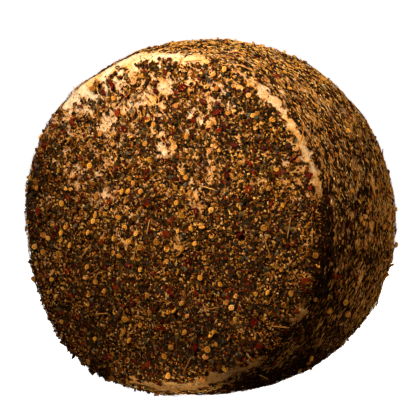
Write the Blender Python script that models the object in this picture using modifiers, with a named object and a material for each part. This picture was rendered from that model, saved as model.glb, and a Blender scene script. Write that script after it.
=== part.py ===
"""Ball of cheese, pressed flat on two faces and rolled in herbs, chilli flakes and chilli seeds.

Units are metres and +Z is up. The ball stands on its round side: one flat face looks along -Y,
the other along +Y. The origin is on the ground, below the middle of the ball.
"""

import bisect
import math
import random

import bmesh
import bpy
from mathutils import Matrix, Vector
from mathutils.geometry import delaunay_2d_cdt

# The ball before it was pressed, and the two flat faces
BALL_RADIUS = 0.100
FACE_DISTANCE = 0.0461
EDGE_ROUNDING = 0.008
FACE_CROWN = 0.0010

# Unevenness round the axis: (lobes, share of the radius, angle of one crest in degrees from +X)
LOBES = (
    (2, 0.0255, 11.3),
    (3, 0.0132, -2.5),
    (4, 0.0148, -33.2),
    (5, 0.0030, 20.5),
    (6, 0.0027, -0.9),
)

# Bumps of the fine herb crust
CRUST_RELIEF = 0.0024
CRUST_BUMP_SIZE = 0.012

# The ball has settled by this much where it stands
REST_DEPTH = 0.0011

# The lobes reach further on the +X side, so the ball stands this far over for the origin to be
# below the middle of its box
SIDE_SHIFT = -0.0013

# How finely the ball is turned
STEPS_ROUND = 72
STEPS_EDGE = 3
STEPS_SIDE = 10
FACE_SPACING = 0.0095

# Toppings: how many, and their real sizes
SEED_COUNT = 165
SEED_RADIUS = (0.0015, 0.0019)
SEED_THICKNESS = 0.0023
SEED_TOP = 0.62
SEED_WIDTH = (0.8, 1.0)
SEED_SIDES = 6
CHILLI_COUNT = 98
CHILLI_RADIUS = (0.0020, 0.0032)
CHILLI_THICKNESS = 0.0022
CHILLI_TOP = 0.85
CHILLI_WIDTH = (0.55, 0.8)
CHILLI_TEAR = (0.75, 1.1)
CHILLI_SIDES = 5
STEM_COUNT = 40
STEM_LENGTH = (0.0075, 0.0115)
STEM_RADIUS = 0.00055
STEM_TAPER = 0.75
STEM_LIFT = 0.35
STEM_SIDES = 4
PROUD = 0.0011
GAP_BETWEEN = 0.0012
FLOOR_CLEARANCE = 0.004
CANDIDATES = 12
SEED_OF_DRAW = 7

CUTTER_MARGIN = 0.02
MERGE_DISTANCE = 0.00001
REACH_STEPS = 1800

# Base colour and roughness of each kind
CRUST_FINISH = ((0.105, 0.044, 0.010, 1), 0.8)
SEED_FINISH = ((0.55, 0.24, 0.045, 1), 0.5)
CHILLI_FINISH = ((0.12, 0.008, 0.003, 1), 0.4)
STEM_FINISH = ((0.36, 0.17, 0.045, 1), 0.7)
SHARP_ANGLE = 40


def clear_scene():
    for thing in list(bpy.data.objects):
        bpy.data.objects.remove(thing)


def make_material(name, colour, roughness):
    material = bpy.data.materials.new(name)
    material.use_nodes = True
    shader = material.node_tree.nodes["Principled BSDF"]
    shader.inputs["Base Color"].default_value = colour
    shader.inputs["Roughness"].default_value = roughness
    shader.inputs["Metallic"].default_value = 0.0
    return material


def make_collection(name):
    collection = bpy.data.collections.new(name)
    bpy.context.scene.collection.children.link(collection)
    return collection


def link_mesh(name, mesh, collection, material=None):
    thing = bpy.data.objects.new(name, mesh)
    collection.objects.link(thing)
    if material:
        mesh.materials.append(material)
    return thing


def evaluated_mesh(thing):
    bpy.context.view_layer.update()
    depsgraph = bpy.context.evaluated_depsgraph_get()
    return bpy.data.meshes.new_from_object(thing.evaluated_get(depsgraph))


def side_profile():
    """Outline (radius, height) about the axis, from the rim of one flat face to the other's."""
    inner_height = FACE_DISTANCE - EDGE_ROUNDING
    inner_reach = BALL_RADIUS - EDGE_ROUNDING
    face_radius = math.sqrt(inner_reach**2 - inner_height**2)
    side_angle = math.asin(inner_height / inner_reach)
    half = []
    for step in range(STEPS_EDGE):
        angle = math.pi / 2 + (side_angle - math.pi / 2) * step / STEPS_EDGE
        half.append(
            (
                face_radius + EDGE_ROUNDING * math.cos(angle),
                inner_height + EDGE_ROUNDING * math.sin(angle),
            )
        )
    for step in range(STEPS_SIDE // 2):
        angle = side_angle * (1 - 2 * step / STEPS_SIDE)
        half.append((BALL_RADIUS * math.cos(angle), BALL_RADIUS * math.sin(angle)))
    mirrored = [(radius, -height) for radius, height in reversed(half)]
    return half + [(BALL_RADIUS, 0.0)] + mirrored


def uneven(angle):
    """How much larger than the true circle the ball is at this angle round its axis."""
    return 1 + sum(
        share * math.cos(count * (angle - math.radians(crest)))
        for count, share, crest in LOBES
    )


def face_patch(rim_radius):
    """Points and triangles of a low crowned disc: its rim, then a lattice of even spacing."""
    turn = 2 * math.pi / STEPS_ROUND
    flat = [
        Vector((rim_radius * math.cos(turn * step), rim_radius * math.sin(turn * step)))
        for step in range(STEPS_ROUND)
    ]
    row_height = FACE_SPACING * math.sqrt(3) / 2
    reach = math.ceil(rim_radius / row_height)
    for row in range(-reach, reach + 1):
        for column in range(-reach, reach + 1):
            spot = Vector(((column + 0.5 * (row % 2)) * FACE_SPACING, row * row_height))
            if spot.length < rim_radius - FACE_SPACING / 2:
                flat.append(spot)
    flat, _, triangles, *_ = delaunay_2d_cdt(flat, [], [], 0, MERGE_DISTANCE)
    points = [
        (spot.x, spot.y, FACE_DISTANCE + FACE_CROWN * (1 - (spot.length / rim_radius) ** 2))
        for spot in flat
    ]
    return points, triangles


def close_ends(mesh, rim_radius):
    """Closes both open ends of the turned side with a face patch each."""
    points, triangles = face_patch(rim_radius)
    shape = bmesh.new()
    shape.from_mesh(mesh)
    for side in (1, -1):
        corners = [shape.verts.new((x, y, side * z)) for x, y, z in points]
        for triangle in triangles:
            shape.faces.new([corners[i] for i in triangle])
    bmesh.ops.remove_doubles(shape, verts=shape.verts, dist=MERGE_DISTANCE)
    bmesh.ops.recalc_face_normals(shape, faces=shape.faces)
    shape.to_mesh(mesh)
    shape.free()


def add_core(collection):
    """The pressed ball, turned about Z, with its lobes and the low bumps of the crust."""
    profile = side_profile()
    outline = [(radius, 0.0, height) for radius, height in profile]
    mesh = bpy.data.meshes.new("outline")
    mesh.from_pydata(outline, [(i, i + 1) for i in range(len(outline) - 1)], [])
    turned = link_mesh("outline", mesh, collection)
    screw = turned.modifiers.new("turn", "SCREW")
    screw.axis = "Z"
    screw.angle = 2 * math.pi
    screw.steps = screw.render_steps = STEPS_ROUND
    screw.use_merge_vertices = True
    screw.merge_threshold = MERGE_DISTANCE
    body = evaluated_mesh(turned)
    bpy.data.objects.remove(turned)
    close_ends(body, profile[0][0])
    for vertex in body.vertices:
        growth = uneven(math.atan2(vertex.co.y, vertex.co.x))
        vertex.co.x *= growth
        vertex.co.y *= growth
    core = link_mesh("core", body, collection)
    bumps = bpy.data.textures.new("crust_bumps", "CLOUDS")
    bumps.noise_scale = CRUST_BUMP_SIZE
    relief = core.modifiers.new("crust", "DISPLACE")
    relief.texture = bumps
    relief.texture_coords = "LOCAL"
    relief.strength = CRUST_RELIEF
    relief.mid_level = 0.5
    core.data = evaluated_mesh(core)
    core.modifiers.clear()
    return core


class Surface:
    """Places on the ball, so that equal shares are equal areas."""

    def __init__(self):
        top = FACE_DISTANCE + FACE_CROWN
        self.outline = [(0.0, top)] + side_profile() + [(0.0, -top)]
        self.sums = [0.0]
        for (r0, z0), (r1, z1) in zip(self.outline, self.outline[1:]):
            band = math.hypot(r1 - r0, z1 - z0) * (r0 + r1) / 2
            self.sums.append(self.sums[-1] + band)

    def place(self, share, angle):
        """The point at this share of the area and this angle, with the normal there."""
        wanted = share * self.sums[-1]
        i = min(bisect.bisect_right(self.sums, wanted), len(self.outline) - 1) - 1
        part = (wanted - self.sums[i]) / (self.sums[i + 1] - self.sums[i])
        (r0, z0), (r1, z1) = self.outline[i], self.outline[i + 1]
        radius = (r0 + (r1 - r0) * part) * uneven(angle)
        outwards = Vector((math.cos(angle), math.sin(angle), 0))
        point = outwards * radius + Vector((0, 0, z0 + (z1 - z0) * part))
        normal = outwards * (z0 - z1) + Vector((0, 0, r1 - r0))
        return point, normal.normalized()


def seed_shape(draw):
    """A flat round seed with a bevelled edge, and the radius of the room that it needs."""
    radius = draw.uniform(*SEED_RADIUS)
    shape = bmesh.new()
    bmesh.ops.create_cone(
        shape,
        cap_ends=True,
        segments=SEED_SIDES,
        radius1=radius,
        radius2=radius * SEED_TOP,
        depth=SEED_THICKNESS,
    )
    bmesh.ops.scale(shape, vec=(1, draw.uniform(*SEED_WIDTH), 1), verts=shape.verts)
    bmesh.ops.translate(shape, vec=(0, 0, PROUD - SEED_THICKNESS / 2), verts=shape.verts)
    return shape, radius


def chilli_shape(draw):
    """A torn chip of chilli skin, longer than it is wide, with uneven corners."""
    radius = draw.uniform(*CHILLI_RADIUS)
    shape = bmesh.new()
    bmesh.ops.create_cone(
        shape,
        cap_ends=True,
        segments=CHILLI_SIDES,
        radius1=radius,
        radius2=radius * CHILLI_TOP,
        depth=CHILLI_THICKNESS,
    )
    bmesh.ops.scale(shape, vec=(1, draw.uniform(*CHILLI_WIDTH), 1), verts=shape.verts)
    bmesh.ops.translate(shape, vec=(0, 0, PROUD - CHILLI_THICKNESS / 2), verts=shape.verts)
    for corner in range(CHILLI_SIDES):
        torn = draw.uniform(*CHILLI_TEAR)
        for vertex in list(shape.verts)[2 * corner : 2 * corner + 2]:
            vertex.co.x *= torn
            vertex.co.y *= torn
    return shape, radius


def stem_shape(draw):
    """A dry stem that lies along the ball."""
    length = draw.uniform(*STEM_LENGTH)
    shape = bmesh.new()
    bmesh.ops.create_cone(
        shape,
        cap_ends=True,
        segments=STEM_SIDES,
        radius1=STEM_RADIUS,
        radius2=STEM_RADIUS * STEM_TAPER,
        depth=length,
    )
    bmesh.ops.rotate(
        shape, matrix=Matrix.Rotation(math.pi / 2, 3, "Y"), verts=shape.verts
    )
    bmesh.ops.translate(shape, vec=(0, 0, STEM_RADIUS * STEM_LIFT), verts=shape.verts)
    return shape, length / 2


def free_place(surface, taken, room, draw, ground):
    """The best of a few drawn places: the one furthest from the toppings already there."""
    best = None
    for _ in range(CANDIDATES):
        point, normal = surface.place(draw.random(), draw.uniform(0, 2 * math.pi))
        gaps = [(point - other).length - room - size for other, size in taken]
        gap = min(gaps, default=BALL_RADIUS)
        above = point.y - ground > FLOOR_CLEARANCE
        if above and gap > GAP_BETWEEN and (best is None or gap > best[0]):
            best = (gap, point, normal)
    return best


def add_toppings(collection, ground):
    """The largest seeds, chilli chips and stems, spread evenly over the whole ball."""
    draw = random.Random(SEED_OF_DRAW)
    surface = Surface()
    kinds = (
        ("stem", STEM_COUNT, stem_shape, make_material("stem", *STEM_FINISH)),
        ("chilli", CHILLI_COUNT, chilli_shape, make_material("chilli", *CHILLI_FINISH)),
        ("seed", SEED_COUNT, seed_shape, make_material("seed", *SEED_FINISH)),
    )
    taken = []
    for name, count, make_shape, material in kinds:
        for number in range(count):
            shape, room = make_shape(draw)
            found = free_place(surface, taken, room, draw, ground)
            spin = Matrix.Rotation(draw.uniform(0, 2 * math.pi), 4, "Z")
            if found:
                _, point, normal = found
                upright = normal.to_track_quat("Z", "Y").to_matrix().to_4x4()
                shape.transform(Matrix.Translation(point) @ upright @ spin)
                mesh = bpy.data.meshes.new(name)
                shape.to_mesh(mesh)
                link_mesh(f"{name}_{number}", mesh, collection, material)
                taken.append((point, room))
            shape.free()


def keep_outer_shell(mesh):
    """Removes all but the largest closed shell, so that no sealed hollow or scrap stays."""
    shape = bmesh.new()
    shape.from_mesh(mesh)
    shape.verts.ensure_lookup_table()
    left = set(shape.verts)
    shells = []
    while left:
        shell = {left.pop()}
        edge_of_shell = list(shell)
        while edge_of_shell:
            vertex = edge_of_shell.pop()
            for edge in vertex.link_edges:
                other = edge.other_vert(vertex)
                if other in left:
                    left.discard(other)
                    shell.add(other)
                    edge_of_shell.append(other)
        shells.append(shell)
    shells.sort(key=len)
    scraps = [vertex for shell in shells[:-1] for vertex in shell]
    bmesh.ops.delete(shape, geom=scraps, context="VERTS")
    shape.to_mesh(mesh)
    shape.free()


def fuse(core, toppings):
    """Joins the toppings to the core in one solid, and removes their objects."""
    join = core.modifiers.new("toppings", "BOOLEAN")
    join.operation = "UNION"
    join.operand_type = "COLLECTION"
    join.collection = toppings
    join.solver = "MANIFOLD"
    core.data = evaluated_mesh(core)
    core.modifiers.clear()
    for thing in list(toppings.objects):
        bpy.data.objects.remove(thing)
    keep_outer_shell(core.data)


def cut_resting_spot(ball, cutters):
    """A small flat spot where the ball stands, cut by a box whose top is the ground."""
    bpy.ops.mesh.primitive_cube_add(size=1)
    block = bpy.context.object
    block.name = "ground_cutter"
    for holder in list(block.users_collection):
        holder.objects.unlink(block)
    cutters.objects.link(block)
    width = 2 * (BALL_RADIUS + CUTTER_MARGIN)
    block.data.transform(Matrix.Diagonal((width, width, CUTTER_MARGIN, 1)))
    block.location.z = -CUTTER_MARGIN / 2
    block.hide_render = True
    block.display_type = "WIRE"
    cut = ball.modifiers.new("resting_spot", "BOOLEAN")
    cut.operation = "DIFFERENCE"
    cut.object = block
    cut.solver = "EXACT"


def lowest_reach():
    """How far the uneven ball reaches below its own middle."""
    angles = (math.pi * (1 + step / REACH_STEPS) for step in range(REACH_STEPS))
    return max(-BALL_RADIUS * uneven(angle) * math.sin(angle) for angle in angles)


def main():
    clear_scene()
    cheese = make_collection("ball_of_cheese")
    toppings = make_collection("toppings")
    cutters = make_collection("cutters")
    middle_height = lowest_reach() - REST_DEPTH
    ball = add_core(cheese)
    ball.name = "cheese_ball"
    ball.data.materials.clear()
    ball.data.materials.append(make_material("herb_crust", *CRUST_FINISH))
    add_toppings(toppings, -middle_height)
    fuse(ball, toppings)
    ball.data.shade_smooth()
    ball.data.set_sharp_from_angle(angle=math.radians(SHARP_ANGLE))
    ball.rotation_euler.x = math.pi / 2
    ball.location = (SIDE_SHIFT, 0, middle_height)
    cut_resting_spot(ball, cutters)


main()
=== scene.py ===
"""Looks of the ball of cheese: a pressed ball whose rind is rolled in herbs, chilli and seeds.

Units are metres, +Z is up and the shown flat face looks along -Y. The ball is one closed surface
with a ragged crust, and the coating is thousands of separate closed crumbs, chips, seeds and stems
at their true size. The largest seeds, chips and stems lie where the solid of the part has them.
"""

import itertools
import logging
import math
import random
from dataclasses import dataclass, field
from enum import Enum

import bpy
import numpy as np
from mathutils import Matrix, Vector

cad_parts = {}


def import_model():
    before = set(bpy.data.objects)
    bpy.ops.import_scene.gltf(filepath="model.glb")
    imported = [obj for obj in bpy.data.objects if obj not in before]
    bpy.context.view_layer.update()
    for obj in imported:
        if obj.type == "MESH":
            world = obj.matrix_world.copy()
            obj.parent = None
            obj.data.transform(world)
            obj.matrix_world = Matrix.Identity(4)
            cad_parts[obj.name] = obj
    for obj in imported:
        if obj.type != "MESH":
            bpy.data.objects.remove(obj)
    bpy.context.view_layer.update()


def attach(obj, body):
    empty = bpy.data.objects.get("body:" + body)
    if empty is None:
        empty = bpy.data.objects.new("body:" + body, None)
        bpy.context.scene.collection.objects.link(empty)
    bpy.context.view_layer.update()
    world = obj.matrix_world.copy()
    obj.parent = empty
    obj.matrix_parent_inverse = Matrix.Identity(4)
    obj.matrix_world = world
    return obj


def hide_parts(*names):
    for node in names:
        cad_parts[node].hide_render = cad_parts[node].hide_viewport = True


LOG = logging.getLogger("ball_of_cheese")
CAD_NODE = "cheese_ball"
BODY = "root"
MM = 0.001
MAP_NAME = "OFBake"
BARE_NAME = "bare"
LEAF_AND_SHADE_NAME = "dark_leaf_and_shade"
FLAT_LIMIT = 0.8
FIRST_CRUMB_SEED = 100
TOPPING_CELL = (0.03, 0.96)
TONE_START = 0.03
TONE_SPAN = 0.94
Colour = tuple[float, float, float, float]


def rgb(red: int, green: int, blue: int) -> Colour:
    """Turns 8-bit screen values into the linear colour that a shader takes.

    Args:
        red: red from 0 to 255.
        green: green from 0 to 255.
        blue: blue from 0 to 255.

    Returns:
        Linear red, green, blue and an alpha of 1.
    """
    linear = [
        part / 12.92 if part <= 0.04045 else ((part + 0.055) / 1.055) ** 2.4
        for part in (red / 255, green / 255, blue / 255)
    ]
    return (linear[0], linear[1], linear[2], 1.0)


class Slot(Enum):
    """Material slots of the part's record."""

    RIND = "cheese_rind"
    CRUST = "herb_crust"
    DARK_HERB = "dark_herb"
    BROWN_HERB = "brown_herb"
    GOLDEN = "golden_crumb"
    SEED = "chilli_seed"
    CHILLI = "chilli_skin"
    STEM = "dry_stem"


class LatticeNoise:
    """Smooth noise from a block of drawn numbers that repeats in space."""

    def __init__(self, seed: int, size: int = 64) -> None:
        """Draws the block.

        Args:
            seed: seed of the draw.
            size: numbers along each side of the block.
        """
        draw = np.random.default_rng(seed)
        self.size = size
        self.block = draw.uniform(-1, 1, (size, size, size))

    def at(self, points: np.ndarray, cell: float) -> np.ndarray:
        """Blends the eight drawn numbers round each point by smooth steps.

        Args:
            points: places, one row each.
            cell: distance between drawn numbers.

        Returns:
            One value from -1 to 1 for each point.
        """
        low = np.floor(points / cell).astype(int)
        part = points / cell - low
        part = part * part * (3 - 2 * part)
        total = np.zeros(len(points))
        for corner in itertools.product((0, 1), repeat=3):
            weight = np.prod(np.where(corner, part, 1 - part), axis=1)
            spot = (low + corner) % self.size
            total += weight * self.block[spot[:, 0], spot[:, 1], spot[:, 2]]
        return total


@dataclass(frozen=True)
class BallForm:
    """The pressed ball: a sphere with two flat faces, rounded rims and lobes round its axis."""

    radius: float = 0.100
    face_distance: float = 0.0461
    edge_rounding: float = 0.008
    face_crown: float = 0.0010
    rest_depth: float = 0.0011
    side_shift: float = -0.0013
    lobes: tuple[tuple[int, float, float], ...] = (
        (2, 0.0255, 11.3),
        (3, 0.0132, -2.5),
        (4, 0.0148, -33.2),
        (5, 0.0030, 20.5),
        (6, 0.0027, -0.9),
    )
    outline_steps: int = 240
    turn_steps: int = 1800

    @property
    def rim_radius(self) -> float:
        """Radius of the flat face up to where its rounded rim starts."""
        inner_reach = self.radius - self.edge_rounding
        inner_height = self.face_distance - self.edge_rounding
        return math.sqrt(inner_reach**2 - inner_height**2)

    @property
    def side_angle(self) -> float:
        """Angle above the middle plane at which the round side meets the rim."""
        reach = self.radius - self.edge_rounding
        return math.asin((self.face_distance - self.edge_rounding) / reach)

    def uneven(self, angle: np.ndarray) -> np.ndarray:
        """How much larger than the true circle the ball is: one plus a cosine for each lobe.

        Args:
            angle: angles round the axis, from +X towards +Z.

        Returns:
            A factor for each angle.
        """
        factor = np.ones_like(angle)
        for count, share, crest in self.lobes:
            factor = factor + share * np.cos(count * (angle - math.radians(crest)))
        return factor

    def middle_height(self) -> float:
        """Height of the ball's middle above the ground, once it has settled."""
        angle = np.pi * (1 + np.arange(self.turn_steps) / self.turn_steps)
        reach = -self.radius * self.uneven(angle) * np.sin(angle)
        return float(reach.max()) - self.rest_depth

    def outline(self) -> tuple[np.ndarray, np.ndarray]:
        """Radius and height from face to face: crown, rim arc, side arc, rim arc and crown.

        Returns:
            Radii about the axis and heights along it, towards the shown face.
        """
        steps = np.linspace(0, 1, self.outline_steps)
        face_radius = steps * self.rim_radius
        face_height = self.face_distance + self.face_crown * (1 - steps**2)
        arc = math.pi / 2 + (self.side_angle - math.pi / 2) * steps[1:]
        inner = self.face_distance - self.edge_rounding
        arc_radius = self.rim_radius + self.edge_rounding * np.cos(arc)
        arc_height = inner + self.edge_rounding * np.sin(arc)
        side = self.side_angle * (1 - 2 * steps[1:])
        side_radius, side_height = self.radius * np.cos(side), self.radius * np.sin(side)
        radius = [face_radius, arc_radius, side_radius, arc_radius[-2::-1], face_radius[::-1]]
        height = [face_height, arc_height, side_height, -arc_height[-2::-1], -face_height[::-1]]
        return np.concatenate(radius), np.concatenate(height)


class BallSurface:
    """Places on the ball's outside, by distance along its outline and angle round its axis.

    The steps along the area and round the axis are one over the plastic ratio and one over its
    square, which spread points evenly.
    """

    even_steps: tuple[float, float] = (0.7548776662466927, 0.5698402909980532)
    spot_shift: float = 0.002
    lump_seed: int = 3
    lump_cells: tuple[float, float] = (11 * MM, 4.5 * MM)
    lump_heights: tuple[float, float] = (0.8, 0.5)
    coat_depth: float = 0.9 * MM

    def __init__(self, form: BallForm) -> None:
        """Measures the outline once.

        Args:
            form: sizes of the ball.
        """
        self.form = form
        self.radius, self.height = form.outline()
        step = np.hypot(np.diff(self.radius), np.diff(self.height))
        self.path = np.concatenate([[0.0], np.cumsum(step)])
        band = step * (self.radius[1:] + self.radius[:-1]) / 2
        self.area = np.concatenate([[0.0], np.cumsum(band)])
        self.area /= self.area[-1]
        slope_radius = np.gradient(self.radius, self.path)
        slope_height = np.gradient(self.height, self.path)
        self.normal = np.stack([-slope_height, slope_radius], axis=1)
        self.middle = Vector((form.side_shift, 0, form.middle_height()))
        self.rim_path = float(self.path[form.outline_steps - 1])
        self.lumps = LatticeNoise(self.lump_seed)

    def spots(self, path: np.ndarray, angle: np.ndarray) -> tuple[np.ndarray, np.ndarray]:
        """Points and outward normals: the outline turned round the axis and stretched by the lobes.

        Args:
            path: distances along the outline from the shown face's centre.
            angle: angles round the axis.

        Returns:
            Points and unit normals, one row each.
        """
        radius = np.interp(path, self.path, self.radius)
        height = np.interp(path, self.path, self.height)
        out = np.interp(path, self.path, self.normal[:, 0])
        along = np.interp(path, self.path, self.normal[:, 1])
        reach = radius * self.form.uneven(angle)
        cos, sin = np.cos(angle), np.sin(angle)
        points = np.stack([reach * cos, -height, reach * sin], axis=1) + np.array(self.middle)
        normals = np.stack([out * cos, -along, out * sin], axis=1)
        return points, normals / np.linalg.norm(normals, axis=1, keepdims=True)

    def bearings(self, points: np.ndarray) -> tuple[np.ndarray, np.ndarray]:
        """Where points lie: the outline's distance with the same slope from the middle, and the turn.

        Args:
            points: places on or near the ball.

        Returns:
            Distances along the outline and angles round the axis.
        """
        offset = points - np.array(self.middle)
        angle = np.arctan2(offset[:, 2], offset[:, 0])
        reach = np.hypot(offset[:, 0], offset[:, 2]) / self.form.uneven(angle)
        slope = np.arctan2(offset[:, 1], reach)
        return np.interp(slope, np.arctan2(-self.height, self.radius), self.path), angle

    def draw_spots(self, draw: np.random.Generator, count: int) -> tuple[np.ndarray, np.ndarray]:
        """Evenly spread places: even steps over the area and the turn, each moved a little.

        Args:
            draw: source of random numbers.
            count: how many places.

        Returns:
            Distances along the outline and angles round the axis.
        """
        order = np.arange(count)
        shift = draw.random(2)
        share, turn = (
            (shift[i] + order * self.even_steps[i] + draw.normal(0, self.spot_shift, count)) % 1.0
            for i in range(2)
        )
        return np.interp(share, self.area, self.path), turn * 2 * math.pi

    def relief(self, points: np.ndarray) -> np.ndarray:
        """Height of the coating's low lumps: smooth noise of two sizes, less the coating's depth.

        Args:
            points: places on the ball.

        Returns:
            Heights in metres.
        """
        wide, small = (
            self.lumps.at(points, cell) * height * MM
            for cell, height in zip(self.lump_cells, self.lump_heights)
        )
        return wide + small - self.coat_depth


class TableRow:
    """A kind of thing that a table lists, one row of numbers for each."""

    @classmethod
    def rows(cls, *rows: tuple[float, ...]) -> tuple["TableRow", ...]:
        """One thing of this kind for each row."""
        return tuple(cls(*row) for row in rows)


@dataclass(frozen=True)
class RimWear(TableRow):
    """A band round the ball at one angle: where it starts and ends, and how strong it is.

    Bands say where the coating has rubbed off a rim, and where dark leaf paints the shade that falls past
    the front rim and underneath. Angles are in degrees round the axis; start and end are millimetres from
    where the flat face ends, positive towards the round side.
    """

    angle: float
    start: float
    end: float
    strength: float


@dataclass(frozen=True)
class FacePatch(TableRow):
    """A round area of a flat face, in millimetres from its middle, and how strong it is there."""

    across: float
    above: float
    reach: float
    strength: float


FRONT_WEAR = RimWear.rows(
    (-106, 4, 6, 0.0), (-101, 4, 8, 0.9), (-97, 5.0, 14, 0.92), (-91, 5.6, 26, 0.95),
    (-83, 5.8, 23, 0.95), (-75, 5.6, 17, 0.95), (-64, 4.6, 11, 0.94), (-57, 5.5, 10, 0.9),
    (-54, 6, 9, 0.8), (-51.5, 4.2, 13, 0.95), (-48, 4, 11, 0.65), (-43, 5, 10, 0.0),
    (-34, 5, 8, 0.5), (-30, 4.2, 11, 0.9), (-26, 5.4, 11, 0.85), (-20, 5, 8, 0.5), (-14, 5, 7, 0.0),
    (8, 6, 7, 0.0), (12, 5, 9.4, 0.9), (20, 5.2, 10.2, 1.15), (30, 4.0, 10.8, 1.2),
    (40, 4.8, 10.4, 1.15), (48, 5.6, 11, 1.0), (53, 5.6, 9.4, 0.72), (72, 5.2, 9.2, 0.68),
    (76, 4.6, 10, 0.95), (83, 4.6, 10.4, 1.0), (84.5, 5, 9, 0.5), (86, 4.8, 11.5, 1.05),
    (95, 4.8, 14.5, 1.2), (104, 4.2, 21, 1.2), (112, 3.4, 24, 1.2), (120, 1.0, 24, 1.1),
    (130, -0.6, 18, 0.95), (138, 0.5, 13, 0.95), (143, 3, 9, 0.0),
)
BACK_WEAR = RimWear.rows(
    (-150, 4, 8, 0.0), (-140, 3, 10, 0.9), (-112, 4, 12, 1.0), (-100, 4, 9, 0.0), (-30, 4, 8, 0.0),
    (-22, 4, 9, 0.8), (0, 3, 11, 1.1), (20, 4, 10, 0.9), (26, 5, 9, 0.0), (44, 5, 9, 0.7),
    (66, 4, 12, 1.15), (96, 3, 13, 1.15), (108, 4, 9, 0.7), (116, 4, 8, 0.0), (160, 4, 8, 0.0),
    (168, 4, 9, 0.85), (182, 4, 10, 0.9), (190, 4, 8, 0.0),
)
# Painted shade: dark leaf laid past the front rim and on the underside, where shadow falls.
FRONT_PAINTED_SHADE = RimWear.rows(
    (-102, 30, 50, 0.0), (-91, 33, 60, 0.9), (-75, 24, 70, 0.9), (-64, 17, 72, 0.9),
    (-55, 20, 74, 0.8), (-45, 32, 74, 0.75), (-38, 20, 40, 0.35), (-30, 11, 24, 0.5),
    (-12, 6.5, 18, 0.95), (6, 7.5, 15, 0.9), (16, 10.5, 14, 0.5), (40, 10.5, 14, 0.35),
    (60, 10.5, 14, 0.0),
)
HERB_PATCHES = FacePatch.rows(
    (42, 58, 17, 0.56), (-74, 4, 24, 0.46), (62, -14, 24, 0.34), (-46, -44, 30, 0.34),
    (20, -66, 34, 0.46),
)
FRONT_PATCHES = FacePatch.rows(
    (-24, 63, 30, 0.50), (26, 64, 20, 0.44), (0, 71, 6, 0.76), (-33, 69, 7, 0.72),
    (-22, 59, 6, 0.72), (-35, 48, 6, 0.70), (-4, 48, 5, 0.68), (2, 39, 6, 0.74), (-48, 62, 7, 0.66),
    (20, 84, 6, 0.78), (43, 76, 6, 0.76), (19, 31, 11, 0.50), (-57, 20, 8, 0.56),
    (-44, 27, 9, 0.52), (-36, 12, 8, 0.54), (20, 12, 9, 0.47),
)
BACK_PATCHES = FacePatch.rows(
    (24, 34, 32, 0.48), (30, 42, 7, 0.74), (12, 52, 6, 0.70), (46, 22, 7, 0.72),
    (-40, -20, 14, 0.56),
)


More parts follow.
